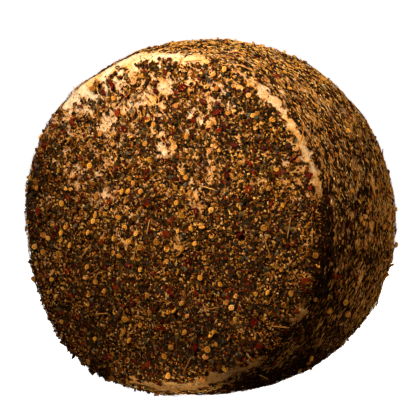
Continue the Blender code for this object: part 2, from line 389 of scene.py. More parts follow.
class Wear:
    """How bare the rind is at each place of the ball, from 0 to about 1.

    Cells are the sizes of the noise. Bands take their raggedness, in millimetres, from the small
    and the fine noise. Pairs of thinness are a base and its rise per millimetre of height. On the
    round side the noise is drawn out along the turn.
    """

    noise_seed: int = 11
    fine_cell: float = 1.5 * MM
    small_cell: float = 3.1 * MM
    wide_cell: float = 7 * MM
    slow_cell: float = 18 * MM
    streak: float = 0.04
    longer_streak: float = 0.6
    streak_cells: tuple[float, float] = (0.9 * MM, 1.3 * MM)
    streak_strengths: tuple[float, float] = (1.6, 0.9)
    ragged_small: float = 2.6
    ragged_fine: float = 1.5
    inner_raggedness: float = 1.7
    band_blur: float = 1.2
    band_margin: float = -0.4
    band_limit: float = 0.6
    band_mottle: float = 0.10
    side_start: float = 8 * MM
    face_end: float = 2 * MM
    thin_side: tuple[float, float] = (0.32, 0.0005)
    thin_face: tuple[float, float] = (0.24, 0.0018)
    slow_strengths: tuple[float, float] = (0.08, 0.15)
    side_wide: float = 0.6
    wide_strength: float = 0.16
    small_strength: float = 0.30
    patch_reach: float = 1.7
    leaf_and_shade_cover: float = 0.4
    rich_reach: float = 1.6
    rich_end: float = 4 * MM

    def __init__(self, surface: BallSurface) -> None:
        """Keeps what the measures need.

        Args:
            surface: the ball's outside.
        """
        self.surface = surface
        self.noise = LatticeNoise(self.noise_seed)

    def _band(
        self, out: np.ndarray, angle: np.ndarray, wears: tuple[RimWear, ...], ragged: np.ndarray
    ) -> np.ndarray:
        """A band whose start, end and strength run evenly from one stated angle to the next.

        Args:
            out: distance from the end of the flat face.
            angle: angles round the axis.
            wears: the stated angles.
            ragged: how far the band's edges are moved, in millimetres.

        Returns:
            Strength of the band at each place.
        """
        out, degrees = out / MM, np.degrees(angle)
        table = np.array([(wear.angle, wear.start, wear.end, wear.strength) for wear in wears])
        start, end, strength = (
            np.interp(degrees, table[:, 0], table[:, column], period=360) for column in (1, 2, 3)
        )
        past_start = (out - start + self.inner_raggedness * ragged) / self.band_blur + 0.5
        before_end = (end - out + ragged) / self.band_blur + 0.5
        return strength * np.clip(past_start, 0, 1) * np.clip(before_end, 0, 1)

    def _patches(
        self, points: np.ndarray, patches: tuple[FacePatch, ...], reach: float
    ) -> list[np.ndarray]:
        """Round patches at full strength inside, fading out over a width of their own reach.

        Args:
            points: places on the ball.
            patches: the patches.
            reach: where a patch ends, as a factor on its own reach.

        Returns:
            Strength at each place, for one patch after the other.
        """
        across = (points[:, 0] - self.surface.middle.x) / MM
        above = (points[:, 2] - self.surface.middle.z) / MM
        return [
            patch.strength
            * np.clip(
                reach - np.hypot(across - patch.across, above - patch.above) / patch.reach, 0, 1
            )
            for patch in patches
        ]

    def at(self, path: np.ndarray, angle: np.ndarray, points: np.ndarray) -> np.ndarray:
        """The largest of the rim bands, face patches and thin places, made ragged by noise.

        Args:
            path: distances along the outline.
            angle: angles round the axis.
            points: the same places in space.

        Returns:
            Bareness for each place.
        """
        surface, noise = self.surface, self.noise
        fine = noise.at(points, self.fine_cell)
        small = noise.at(points, self.small_cell)
        ragged = self.ragged_small * small + self.ragged_fine * fine
        out, back_out = path - surface.rim_path, surface.path[-1] - surface.rim_path - path
        bands = np.maximum(
            self._band(out, angle, FRONT_WEAR, ragged),
            self._band(back_out, angle, BACK_WEAR, ragged),
        )
        above = (points[:, 2] - surface.middle.z) / MM
        on_side = (out > self.side_start) & (back_out > self.side_start)
        thin = np.where(
            on_side,
            self.thin_side[0] + self.thin_side[1] * above,
            self.thin_face[0] + self.thin_face[1] * above,
        )
        drawn_out = np.stack([angle * self.streak, points[:, 1], np.zeros(len(path))], axis=1)
        streaks = self.streak_strengths[0] * noise.at(drawn_out, self.streak_cells[0])
        fine = np.where(on_side, streaks, fine)
        drawn_out[:, 0] *= self.longer_streak
        streaks = self.streak_strengths[1] * noise.at(drawn_out, self.streak_cells[1])
        small = np.where(on_side, streaks, small)
        thin = thin + np.where(on_side, *self.slow_strengths) * noise.at(points, self.slow_cell)
        # Less bare rind on the dark leaf patches and in the painted shade band.
        thin -= self.leaf_and_shade_cover * self.dark_leaf_and_shade(path, angle, points)
        wide = noise.at(points, self.wide_cell) * np.where(on_side, self.side_wide, 1.0)
        for patches, on_face in (
            (FRONT_PATCHES, out < self.face_end),
            (BACK_PATCHES, back_out < self.face_end),
        ):
            for patch in self._patches(points, patches, self.patch_reach):
                thin = np.maximum(thin, on_face * patch)
        thin = thin + self.wide_strength * wide + self.small_strength * (small + fine)
        return np.clip(np.maximum(bands + self.band_mottle * fine * bands, thin), 0, 1)

    def dark_leaf_and_shade(self, path: np.ndarray, angle: np.ndarray, points: np.ndarray) -> np.ndarray:
        """How far dark leaf darkens the coating: as painted shade past the front rim and underneath, where
        shadow falls, and as real dark leaf in round areas of the face.

        Args:
            path: distances along the outline.
            angle: angles round the axis.
            points: the same places in space.

        Returns:
            From 0 to 1 for each place.
        """
        out = path - self.surface.rim_path
        # The painted shade band first, then the face's real dark leaf patches.
        leaf_and_shade = self._band(out, angle, FRONT_PAINTED_SHADE, np.zeros(len(path)))
        for patch in self._patches(points, HERB_PATCHES, self.rich_reach):
            leaf_and_shade = np.maximum(leaf_and_shade, (out < self.rich_end) * patch)
        return leaf_and_shade

    def bare_band(self, points: np.ndarray) -> np.ndarray:
        """Which points lie well inside a bare rim, where nothing large clings.

        Args:
            points: places on or near the ball.

        Returns:
            True for each such point.
        """
        path, angle = self.surface.bearings(points)
        margin = np.full(len(path), self.band_margin)
        bands = self._band(path - self.surface.rim_path, angle, FRONT_WEAR, margin)
        return bands > self.band_limit


@dataclass
class Template:
    """One small closed shape that is repeated: its points, faces and places on the colour map."""

    points: np.ndarray
    faces: list[tuple[int, ...]]
    map_places: np.ndarray

    @classmethod
    def tetra(cls) -> "Template":
        """A shard of four triangles, with a ridge along X above and one along Y below."""
        points = np.array([(-1, 0, 0.6), (1, 0, 0.6), (0, -1, -0.6), (0, 1, -0.6)], float)
        faces = [(0, 2, 1), (0, 1, 3), (0, 3, 2), (1, 2, 3)]
        return cls(points, faces, cls.flat_map(points, faces))

    @classmethod
    def octa(cls) -> "Template":
        """A chip of eight triangles: four corners round its edge, one above and one below."""
        points = np.array(
            [(1, 0, 0), (0, 1, 0), (-1, 0, 0), (0, -1, 0), (0, 0, 1), (0, 0, -1)], float
        )
        faces = [(i, (i + 1) % 4, 4) for i in range(4)]
        faces += [((i + 1) % 4, i, 5) for i in range(4)]
        return cls(points, faces, cls.flat_map(points, faces))

    @classmethod
    def turned(cls, profile: tuple[tuple[float, float], ...], columns: int) -> "Template":
        """A closed shape turned about Z from (radius, height) pairs, with a pole at each end.

        Args:
            profile: pairs from the lower pole to the upper pole, the poles included.
            columns: sides round the axis.

        Returns:
            The shape, mapped by share of the turn and place along the profile.
        """
        rings = profile[1:-1]
        turn = np.arange(columns) * 2 * math.pi / columns
        circle = np.stack([np.cos(turn), np.sin(turn)], axis=1)
        layers = [np.column_stack([circle * radius, np.full(columns, z)]) for radius, z in rings]
        points = np.vstack([[(0, 0, profile[0][1])], *layers, [(0, 0, profile[-1][1])]])
        return cls._tube(points, len(rings), columns)

    @classmethod
    def curl(
        cls, segments: int = 5, sweep: float = 250.0, thickness: float = 0.3, tip: float = 0.25
    ) -> "Template":
        """A curled husk: a three-sided rod along an arc, tapered to a point at each end.

        Args:
            segments: steps along the arc.
            sweep: degrees that the arc covers.
            thickness: half the rod's thickness as a share of the arc's radius.
            tip: where on the half wave of the swell the rod starts and ends, in radians.

        Returns:
            The shape.
        """
        turn = np.radians(np.linspace(0, sweep, segments + 1))
        spine = np.stack([np.cos(turn), np.sin(turn), np.zeros_like(turn)], axis=1)
        swell = thickness * np.sin(np.linspace(tip, math.pi - tip, segments + 1))
        section = np.radians([90, 210, 330])
        layers = [
            spot * (1 + size * np.cos(section))[:, None]
            + np.outer(size * np.sin(section), [0, 0, 1])
            for spot, size in zip(spine[1:-1], swell[1:-1])
        ]
        points = np.vstack([spine[:1], *layers, spine[-1:]])
        return cls._tube(points, segments - 1, 3)

    @classmethod
    def _tube(cls, points: np.ndarray, rings: int, columns: int) -> "Template":
        """Closes rings of points with quads between them and a fan at each end.

        Args:
            points: the first pole, the rings in order, and the last pole.
            rings: how many rings.
            columns: points in each ring.

        Returns:
            The shape, mapped by share of the turn and place along the tube.
        """
        last, rows = len(points) - 1, rings + 1
        faces: list[tuple[int, ...]] = []
        places: list[tuple[float, float]] = []
        for column in range(columns):
            after = (column + 1) % columns
            left, right = column / columns, (column + 1) / columns
            faces.append((0, 1 + after, 1 + column))
            places += [(left, 0), (right, 1 / rows), (left, 1 / rows)]
            for row in range(rings - 1):
                low, high = 1 + row * columns, 1 + (row + 1) * columns
                faces.append((low + column, low + after, high + after, high + column))
                v0, v1 = (row + 1) / rows, (row + 2) / rows
                places += [(left, v0), (right, v0), (right, v1), (left, v1)]
            top = 1 + (rings - 1) * columns
            faces.append((top + column, top + after, last))
            places += [(left, rings / rows), (right, rings / rows), (left, 1)]
        return cls(points, faces, np.array(places, float))

    @staticmethod
    def flat_map(points: np.ndarray, faces: list[tuple[int, ...]]) -> np.ndarray:
        """Each corner's place seen from above, from 0 to 1.

        Args:
            points: the shape's points.
            faces: the shape's faces.

        Returns:
            One row for each corner of each face.
        """
        corners = np.array([i for face in faces for i in face])
        return points[corners, :2] * 0.5 + 0.5


@dataclass
class Placement:
    """Where copies go: centres, the three axes of each, and its colour place."""

    centres: np.ndarray
    axes: np.ndarray
    colour: np.ndarray

    def kept(self, mask: np.ndarray) -> "Placement":
        """The copies that the mask keeps."""
        return Placement(self.centres[mask], self.axes[mask], self.colour[mask])


def sized(axes: np.ndarray, *halves: np.ndarray | float) -> np.ndarray:
    """Unit axes, made as long as the half sizes along X, Y and Z."""
    return axes * np.stack(np.broadcast_arrays(*halves), axis=1)[:, :, None]


def map_places(tone: np.ndarray, shade: np.ndarray | float = 0.5) -> np.ndarray:
    """Places on the colour map: the tone across, kept off the edges, and the shade upwards."""
    across = TONE_START + TONE_SPAN * tone
    return np.stack([across, np.broadcast_to(shade, tone.shape)], axis=1)


def build_mesh(
    name: str, points: np.ndarray, loops: np.ndarray, sizes: np.ndarray
) -> bpy.types.Mesh:
    """Puts whole arrays into a new mesh.

    Args:
        name: the mesh's name.
        points: vertices, one row each.
        loops: vertex numbers of all faces, one after the other.
        sizes: corners of each face.

    Returns:
        The mesh.
    """
    mesh = bpy.data.meshes.new(name)
    mesh.vertices.add(len(points))
    mesh.loops.add(len(loops))
    mesh.polygons.add(len(sizes))
    mesh.vertices.foreach_set("co", points.astype(np.float32).ravel())
    mesh.loops.foreach_set("vertex_index", loops.astype(np.int32))
    starts = np.concatenate([[0], np.cumsum(sizes)[:-1]])
    mesh.polygons.foreach_set("loop_start", starts.astype(np.int32))
    mesh.update(calc_edges=True)
    return mesh


def repeat_shape(
    name: str,
    template: Template,
    placement: Placement,
    jitter: np.ndarray,
    map_cell: tuple[float, float],
    bend: np.ndarray | float = 0.0,
) -> bpy.types.Mesh:
    """Joins one copy of the template for each place: points times axes, plus the centre.

    A bent copy rises by its bend times the square of its own X.

    Args:
        name: the mesh's name.
        template: the shape.
        placement: where the copies go.
        jitter: factors on each point of each copy, which make the copies differ.
        map_cell: size of each copy's cell on the colour map.
        bend: how far each copy's ends rise, as a share of its thickness.

    Returns:
        One mesh that holds all copies.
    """
    count, each = len(placement.centres), len(template.points)
    local = template.points[None] * jitter
    local[:, :, 2] += np.reshape(bend, (-1, 1)) * local[:, :, 0] ** 2
    points = np.einsum("nkj,nji->nki", local, placement.axes) + placement.centres[:, None]
    points[:, :, 2] = np.maximum(points[:, :, 2], 0.0)
    flat = np.array([i for face in template.faces for i in face])
    loops = (flat[None] + each * np.arange(count)[:, None]).ravel()
    sizes = np.tile([len(face) for face in template.faces], count)
    mesh = build_mesh(name, points.reshape(-1, 3), loops, sizes)
    layer = mesh.uv_layers.new(name=MAP_NAME)
    cell = (template.map_places[None] - 0.5) * np.array(map_cell)
    places = placement.colour[:, None] + cell
    layer.uv.foreach_set("vector", places.astype(np.float32).ravel())
    return mesh


def torn_outline(
    draw: np.random.Generator,
    copies: int,
    template: Template,
    columns: int,
    least: float,
    most: float = 1.2,
) -> np.ndarray:
    """Factors that pull each column of a turned shape in or out, so that its outline is torn.

    Args:
        draw: source of random numbers.
        copies: how many copies.
        template: the turned shape.
        columns: its sides round the axis.
        least: smallest factor.
        most: largest factor.

    Returns:
        Factors on each point of each copy.
    """
    rings = (len(template.points) - 2) // columns
    factors = np.ones((copies, len(template.points), 3))
    torn = np.tile(draw.uniform(least, most, (copies, columns)), (1, rings))
    factors[:, 1:-1, :2] = torn[:, :, None]
    return factors


def turned_about(hinge: np.ndarray, axes: np.ndarray, tilt: np.ndarray) -> np.ndarray:
    """Turns axes about a hinge: what lies along the hinge stays, and the rest goes round it.

    Args:
        hinge: one unit direction for each copy.
        axes: rows of each copy's axes.
        tilt: how far each copy is turned.

    Returns:
        The turned axes.
    """
    cos, sin = np.cos(tilt)[:, None, None], np.sin(tilt)[:, None, None]
    along = np.einsum("nj,nkj->nk", hinge, axes)[:, :, None]
    round_it = np.cross(hinge[:, None], axes)
    return axes * cos + round_it * sin + hinge[:, None] * along * (1 - cos)


def frames_on(
    normals: np.ndarray, spin: np.ndarray, tilt: np.ndarray, lean: np.ndarray
) -> np.ndarray:
    """Axes of each copy: turned about the normal, then tipped about a hinge in the surface.

    Args:
        normals: outward normals.
        spin: turn about the normal.
        tilt: how far the copy is tipped.
        lean: direction of the hinge.

    Returns:
        Rows of each copy's X, Y and Z axes.
    """
    near_axis = np.abs(normals[:, 1:2]) > 0.9
    helper = np.where(near_axis, [[1.0, 0, 0]], [[0, 1.0, 0]])
    first = np.cross(helper, normals)
    first /= np.linalg.norm(first, axis=1, keepdims=True)
    second = np.cross(normals, first)
    hinge, along = (
        first * np.cos(turn)[:, None] + second * np.sin(turn)[:, None] for turn in (lean, spin)
    )
    axes = np.stack([along, np.cross(normals, along), normals], axis=1)
    return turned_about(hinge, axes, tilt)


def tip_axes(axes: np.ndarray, tilt: np.ndarray, lean: np.ndarray) -> np.ndarray:
    """Tips unit axes about a hinge in their own XY plane.

    Args:
        axes: rows of unit axes.
        tilt: how far each is tipped.
        lean: direction of the hinge.

    Returns:
        The tipped axes.
    """
    hinge = axes[:, 0] * np.cos(lean)[:, None] + axes[:, 1] * np.sin(lean)[:, None]
    return turned_about(hinge, axes, tilt)


class Graph:
    """Short ways to add and join shader nodes."""

    def __init__(self, tree: bpy.types.NodeTree) -> None:
        """Keeps the tree that nodes go into."""
        self.tree = tree

    def add(self, kind: str, **settings: object) -> bpy.types.Node:
        """Adds a node and sets its properties.

        Args:
            kind: Blender's name of the node type.
            settings: properties of the node.

        Returns:
            The node.
        """
        node = self.tree.nodes.new(kind)
        for key, value in settings.items():
            setattr(node, key, value)
        return node

    def feed(self, node: bpy.types.Node, socket: str | int, value: object) -> None:
        """Links a socket's output, or sets a plain value, on one input.

        Args:
            node: the node that takes it.
            socket: name or number of the input.
            value: an output socket or a value.
        """
        if isinstance(value, bpy.types.NodeSocket):
            self.tree.links.new(value, node.inputs[socket])
        else:
            node.inputs[socket].default_value = value

    def math(self, operation: str, first: object, second: object = 0.0) -> bpy.types.NodeSocket:
        """A Math node's result.

        Args:
            operation: the sum to do.
            first: first value.
            second: second value.

        Returns:
            The result's socket.
        """
        node = self.add("ShaderNodeMath", operation=operation)
        self.feed(node, 0, first)
        self.feed(node, 1, second)
        return node.outputs[0]

    def blend(
        self, factor: object, first: object, second: object, kind: str = "MIX"
    ) -> bpy.types.NodeSocket:
        """Mixes two colours.

        Args:
            factor: share of the second colour.
            first: first colour.
            second: second colour.
            kind: way to mix.

        Returns:
            The colour's socket.
        """
        node = self.add("ShaderNodeMix", data_type="RGBA", blend_type=kind, clamp_factor=True)
        self.feed(node, 0, factor)
        self.feed(node, 6, first)
        self.feed(node, 7, second)
        return node.outputs[2]

    def span(
        self, value: object, low: float, high: float, to_low: float = 0.0, to_high: float = 1.0
    ) -> bpy.types.NodeSocket:
        """Carries a value from one range to another, without going past its ends.

        Args:
            value: what is carried.
            low: start of the range it has.
            high: end of the range it has.
            to_low: start of the range it gets.
            to_high: end of the range it gets.

        Returns:
            The result's socket.
        """
        node = self.add("ShaderNodeMapRange", clamp=True)
        for key, part in enumerate((value, low, high, to_low, to_high)):
            self.feed(node, key, part)
        return node.outputs[0]

    def parts(self, vector: object) -> list[bpy.types.NodeSocket]:
        """Takes a vector apart.

        Args:
            vector: the vector.

        Returns:
            Its X, Y and Z.
        """
        node = self.add("ShaderNodeSeparateXYZ")
        self.feed(node, 0, vector)
        return list(node.outputs)

    def noise(
        self, place: object, scale: object, detail: float = 2.0, rough: float = 0.5
    ) -> bpy.types.NodeSocket:
        """Smooth noise from 0 to 1.

        Args:
            place: coordinates.
            scale: cells to the metre.
            detail: how many finer layers it adds.
            rough: how strong they are.

        Returns:
            The noise's socket.
        """
        node = self.add("ShaderNodeTexNoise", noise_dimensions="3D")
        self.feed(node, "Vector", place)
        self.feed(node, "Scale", scale)
        self.feed(node, "Detail", detail)
        self.feed(node, "Roughness", rough)
        return node.outputs["Fac"]

    def cells(self, place: object, scale: float) -> bpy.types.Node:
        """Cells round scattered points.

        Args:
            place: coordinates.
            scale: cells to the metre.

        Returns:
            The node, with its distance and colour.
        """
        node = self.add("ShaderNodeTexVoronoi", voronoi_dimensions="3D", feature="F1")
        self.feed(node, "Vector", place)
        self.feed(node, "Scale", scale)
        return node


def new_group(
    name: str, inputs: dict[str, tuple[str, object]], outputs: dict[str, str]
) -> tuple[bpy.types.NodeTree, Graph, bpy.types.Node, bpy.types.Node]:
    """Starts a shader node group with named sockets.

    Args:
        name: the group's name.
        inputs: each input's kind and starting value.
        outputs: each output's kind.

    Returns:
        The group, its graph, its input node and its output node.
    """
    group = bpy.data.node_groups.new(name, "ShaderNodeTree")
    for label, (kind, value) in inputs.items():
        socket = group.interface.new_socket(name=label, in_out="INPUT", socket_type=kind)
        if value is not None:
            socket.default_value = value
    for label, kind in outputs.items():
        group.interface.new_socket(name=label, in_out="OUTPUT", socket_type=kind)
    graph = Graph(group)
    return group, graph, graph.add("NodeGroupInput"), graph.add("NodeGroupOutput")


@dataclass(frozen=True)
class CrumbTones:
    """Colour of a crumb: three tones by its first map place, shaded by its second.

    Smooth noise over the map leans each crumb towards grey-green or towards rust: red, green and
    blue are each multiplied by a factor that runs from the cool one to the warm one. Crumbs with
    the highest second place are ashen: each channel is a share of their red.
    """

    leans: tuple[tuple[float, float], ...] = ((0.78, 1.30), (1.12, 0.76), (1.9, 0.0))
    lean_cells: float = 44.0
    lean_range: tuple[float, float] = (0.33, 0.67)
    ashen: tuple[float, float, float] = (0.90, 0.84, 0.52)
    ash_range: tuple[float, float] = (0.84, 0.87)

    def group(self) -> bpy.types.NodeTree:
        """Builds the shader group.

        Returns:
            The group, with inputs Place, Dark, Middle, Light, Depth, Lean and Ash and output
            Colour.
        """
        group, graph, given, out = new_group(
            "crumb_tones",
            {
                "Place": ("NodeSocketVector", None),
                "Dark": ("NodeSocketColor", (0, 0, 0, 1)),
                "Middle": ("NodeSocketColor", (0.5, 0.5, 0.5, 1)),
                "Light": ("NodeSocketColor", (1, 1, 1, 1)),
                "Depth": ("NodeSocketFloat", 0.5),
                "Lean": ("NodeSocketFloat", 1.0),
                "Ash": ("NodeSocketFloat", 0.0),
            },
            {"Colour": "NodeSocketColor"},
        )
        place, dark, middle, light, depth, lean, ash = list(given.outputs)[:7]
        tone_place, shade_place, _ = graph.parts(place)
        tone = graph.blend(graph.span(tone_place, 0.0, 0.5), dark, middle)
        tone = graph.blend(graph.span(tone_place, 0.5, 1.0), tone, light)
        shade = graph.math("MULTIPLY", graph.math("SUBTRACT", 1.0, shade_place), depth)
        shaded = graph.blend(shade, tone, dark)
        hue = graph.span(graph.noise(place, self.lean_cells, 0.0), *self.lean_range)
        split, leaned, grey = (
            graph.add(f"ShaderNode{kind}Color") for kind in ("Separate", "Combine", "Combine")
        )
        graph.feed(split, 0, shaded)
        for channel, (ends, share) in enumerate(zip(self.leans, self.ashen)):
            factor = graph.span(hue, 0.0, 1.0, *ends)
            graph.feed(leaned, channel, graph.math("MULTIPLY", split.outputs[channel], factor))
            graph.feed(grey, channel, graph.math("MULTIPLY", split.outputs[0], share))
        colour = graph.blend(lean, shaded, leaned.outputs[0])
        faded = graph.math("MULTIPLY", graph.span(shade_place, *self.ash_range), ash)
        graph.feed(out, "Colour", graph.blend(faded, colour, grey.outputs[0]))
        return group


def grain_group() -> bpy.types.NodeTree:
    """Fine grain over a surface, for spots and bumps.

    Returns:
        The group, with inputs Place and Scale and output Height.
    """
    group, graph, given, out = new_group(
        "fine_grain",
        {"Place": ("NodeSocketVector", None), "Scale": ("NodeSocketFloat", 500.0)},
        {"Height": "NodeSocketFloat"},
    )
    noise = graph.noise(given.outputs["Place"], given.outputs["Scale"], 3.0, 0.6)
    graph.feed(out, "Height", noise)
    return group


class Finishes:
    """Shader node groups that the materials share."""

    def __init__(self) -> None:
        """Builds each group once."""
        self.tones = CrumbTones().group()
        self.grain = grain_group()

    @staticmethod
    def start(name: str) -> tuple[bpy.types.Material, Graph, bpy.types.Node]:
        """A new material with its Principled shader.

        Args:
            name: the material's name.

        Returns:
            The material, its graph and the shader.
        """
        material = bpy.data.materials.new(name)
        material.use_nodes = True
        return material, Graph(material.node_tree), material.node_tree.nodes["Principled BSDF"]


@dataclass(frozen=True)
class CrumbFinish:
    """Finish of one kind of crumb: three tones, how deep its shades go, its gloss, lean and ash.

    The lean says how far single crumbs turn towards grey-green or rust, and the ash how grey those
    are that have lost their colour.
    """

    name: str
    dark: Colour
    middle: Colour
    light: Colour
    depth: float = 0.5
    roughness: float = 0.75
    gloss: float = 0.3
    lean: float = 1.0
    ash: float = 0.0

    def material(self, shared: Finishes) -> bpy.types.Material:
        """Builds the material.

        Args:
            shared: the shared node groups.

        Returns:
            The material.
        """
        material, graph, shader = Finishes.start(self.name)
        place = graph.add("ShaderNodeUVMap", uv_map=MAP_NAME)
        tones = graph.add("ShaderNodeGroup", node_tree=shared.tones)
        inputs = {
            "Place": place.outputs[0], "Dark": self.dark, "Middle": self.middle,
            "Light": self.light, "Depth": self.depth, "Lean": self.lean, "Ash": self.ash,
        }
        for label, value in inputs.items():
            graph.feed(tones, label, value)
        graph.feed(shader, "Base Color", tones.outputs["Colour"])
        graph.feed(shader, "Roughness", self.roughness)
        graph.feed(shader, "Specular IOR Level", self.gloss)
        return material


@dataclass(frozen=True)
class RindFinish:
    """Finish of the ball itself: bare cream rind, and dark mottled crust where it is coated; the crust's
    darkest tone is also painted shade for the gaps between crumbs.

    Ranges and steps give where a value starts and ends, and then what it is carried to.
    """

    cream: Colour = rgb(241, 217, 181)
    golden: Colour = rgb(230, 172, 98)
    stain: Colour = rgb(196, 124, 46)
    crust_dark_and_gap_shade: Colour = rgb(20, 11, 3)
    crust_brown: Colour = rgb(58, 31, 7)
    crust_olive: Colour = rgb(36, 24, 8)
    crust_amber: Colour = rgb(164, 98, 20)
    crust_pale: Colour = rgb(228, 171, 86)
    middle_height: float = 0.0957
    side_half: float = 0.036
    shade_tint_top: float = 0.11
    shade_tint_strength: float = 0.85
    streak: float = 0.05
    side_fineness: float = 1.6
    golden_towards_x: float = 0.9
    crumb_cells: float = 900.0
    grain_cells: float = 620.0
    stain_noise: tuple[float, float, float] = (110.0, 4.0, 0.62)
    dark_steps: tuple[tuple[float, float], ...] = ((0.32, 0.36), (0.58, 0.62))
    light_steps: tuple[tuple[float, float], ...] = ((0.80, 0.84), (0.90, 0.93))
    leaf_and_shade_range: tuple[float, float, float, float] = (0.2, 0.8, 1.0, 0.1)
    golden_range: tuple[float, float] = (0.42, 0.60)
    spot_range: tuple[float, float, float, float] = (0.55, 0.68, 0.0, 0.8)
    grain_share: float = 0.75
    bite: float = 0.42
    rim_range: tuple[float, float, float, float] = (1.06, 0.78, 0.0, 0.7)
    bare_range: tuple[float, float] = (0.62, 0.70)
    roughness: tuple[float, float] = (0.9, 0.5)
    gloss: float = 0.08
    bump: float = 0.5
    bump_depth: float = 0.4 * MM

    def _places(self, graph: Graph) -> tuple[object, object]:
        """Plain coordinates, and coordinates squeezed along the turn on the round side.

        The squeezed ones are (turn about the axis, distance along it, distance from it), so that
        cells on them are drawn out into streaks as long as a rolled flake.

        Args:
            graph: the material's graph.

        Returns:
            Plain coordinates and the coordinates for speckles.
        """
        plain = graph.add("ShaderNodeTexCoord").outputs["Object"]
        x, y, z = graph.parts(plain)
        rise = graph.math("SUBTRACT", z, self.middle_height)
        turn = graph.math("MULTIPLY", graph.math("ARCTAN2", rise, x), self.streak)
        squares = (graph.math("MULTIPLY", part, part) for part in (rise, x))
        reach = graph.math("POWER", graph.math("ADD", *squares), 0.5)
        streaked = graph.add("ShaderNodeCombineXYZ")
        finer = graph.math("MULTIPLY", y, self.side_fineness)
        for number, part in enumerate((turn, finer, reach)):
            graph.feed(streaked, number, part)
        mixed = graph.add("ShaderNodeMix", data_type="VECTOR")
        graph.feed(mixed, 0, graph.math("LESS_THAN", graph.math("ABSOLUTE", y), self.side_half))
        graph.feed(mixed, 4, plain)
        graph.feed(mixed, 5, streaked.outputs[0])
        return plain, mixed.outputs[1]

    def _crust(self, graph: Graph, pick: object, leaf_and_shade: object) -> object:
        """Colour of the crust: the pick of each cell chooses among five tones.

        Args:
            graph: the material's graph.
            pick: a number from 0 to 1 for each cell.
            leaf_and_shade: how strong the dark leaf patches and the painted shade band are, which take the
                two light tones away.

        Returns:
            The colour.
        """
        # The darkest tone is the crust's own colour and also painted shade for the gaps between crumbs.
        crust = self.crust_dark_and_gap_shade
        for step, tone in zip(self.dark_steps, (self.crust_olive, self.crust_brown)):
            crust = graph.blend(graph.span(pick, *step), crust, tone)
        # Painted shade: no light tones in the shade band past the front rim, and fewer on dark leaf
        # patches.
        lighter = graph.span(leaf_and_shade, *self.leaf_and_shade_range)
        for step, tone in zip(self.light_steps, (self.crust_amber, self.crust_pale)):
            share = graph.math("MULTIPLY", graph.span(pick, *step), lighter)
            crust = graph.blend(share, crust, tone)
        return crust

    def _rind(self, graph: Graph, place: object, height: object) -> object:
        """Colour of the rind: golden clouds, and a lower part turned golden as painted warm shade, on
        cream, with small stains.

        Args:
            graph: the material's graph.
            place: plain coordinates.
            height: height of the fine grain.

        Returns:
            The colour.
        """
        across, _, above = graph.parts(place)
        cloud = graph.noise(place, *self.stain_noise)
        # The clouds grow more golden towards +X.
        cloud = graph.math("ADD", cloud, graph.math("MULTIPLY", across, self.golden_towards_x))
        rind = graph.blend(graph.span(cloud, *self.golden_range), self.cream, self.golden)
        # Painted warm shade: the rind turns golden towards the bottom.
        low_shade_tint = graph.span(above, self.shade_tint_top, 0.0, 0.0, self.shade_tint_strength)
        rind = graph.blend(low_shade_tint, rind, self.golden)
        return graph.blend(graph.span(height, *self.spot_range), rind, self.stain)

    def material(self, shared: Finishes) -> bpy.types.Material:
        """Builds the material: bareness and speckle choose between rind and crust.

        Args:
            shared: the shared node groups.

        Returns:
            The material.
        """
        material, graph, shader = Finishes.start("cheese_rind")
        place, speckled = self._places(graph)
        bare, leaf_and_shade = (
            graph.add("ShaderNodeAttribute", attribute_name=name).outputs["Fac"]
            for name in (BARE_NAME, LEAF_AND_SHADE_NAME)
        )
        bits = graph.cells(speckled, self.crumb_cells)
        pick = graph.add("ShaderNodeSeparateColor")
        graph.feed(pick, 0, bits.outputs["Color"])
        grain = graph.add("ShaderNodeGroup", node_tree=shared.grain)
        graph.feed(grain, "Place", speckled)
        graph.feed(grain, "Scale", self.grain_cells)
        height = grain.outputs["Height"]
        edge = graph.math("ADD", bare, graph.math("MULTIPLY", height, self.grain_share))
        edge = graph.math("SUBTRACT", edge, graph.math("MULTIPLY", pick.outputs[1], self.bite))
        rind = self._rind(graph, place, height)
        rind = graph.blend(graph.span(edge, *self.rim_range), rind, self.stain)
        mask = graph.span(edge, *self.bare_range)
        crust = self._crust(graph, pick.outputs[0], leaf_and_shade)
        graph.feed(shader, "Base Color", graph.blend(mask, crust, rind))
        graph.feed(shader, "Roughness", graph.span(mask, 0.0, 1.0, *self.roughness))
        graph.feed(shader, "Specular IOR Level", self.gloss)
        bump = graph.add("ShaderNodeBump")
        graph.feed(bump, "Strength", self.bump)
        graph.feed(bump, "Distance", self.bump_depth)
        graph.feed(bump, "Height", graph.math("SUBTRACT", height, bits.outputs["Distance"]))
        graph.feed(shader, "Normal", bump.outputs[0])
        return material


def show(
    name: str, mesh: bpy.types.Mesh, material: bpy.types.Material, smooth: bool
) -> bpy.types.Object:
    """Makes a mesh a shown piece that rides on the part's body.

    Args:
        name: the piece's name.
        mesh: its mesh.
        material: its material.
        smooth: whether its faces shade smoothly.

    Returns:
        The piece.
    """
    mesh.materials.append(material)
    mesh.polygons.foreach_set("use_smooth", np.full(len(mesh.polygons), smooth))
    piece = bpy.data.objects.new(name, mesh)
    bpy.context.scene.collection.objects.link(piece)
    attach(piece, BODY)
    LOG.info("%s: %d triangles", name, sum(len(p.vertices) - 2 for p in mesh.polygons))
    return piece


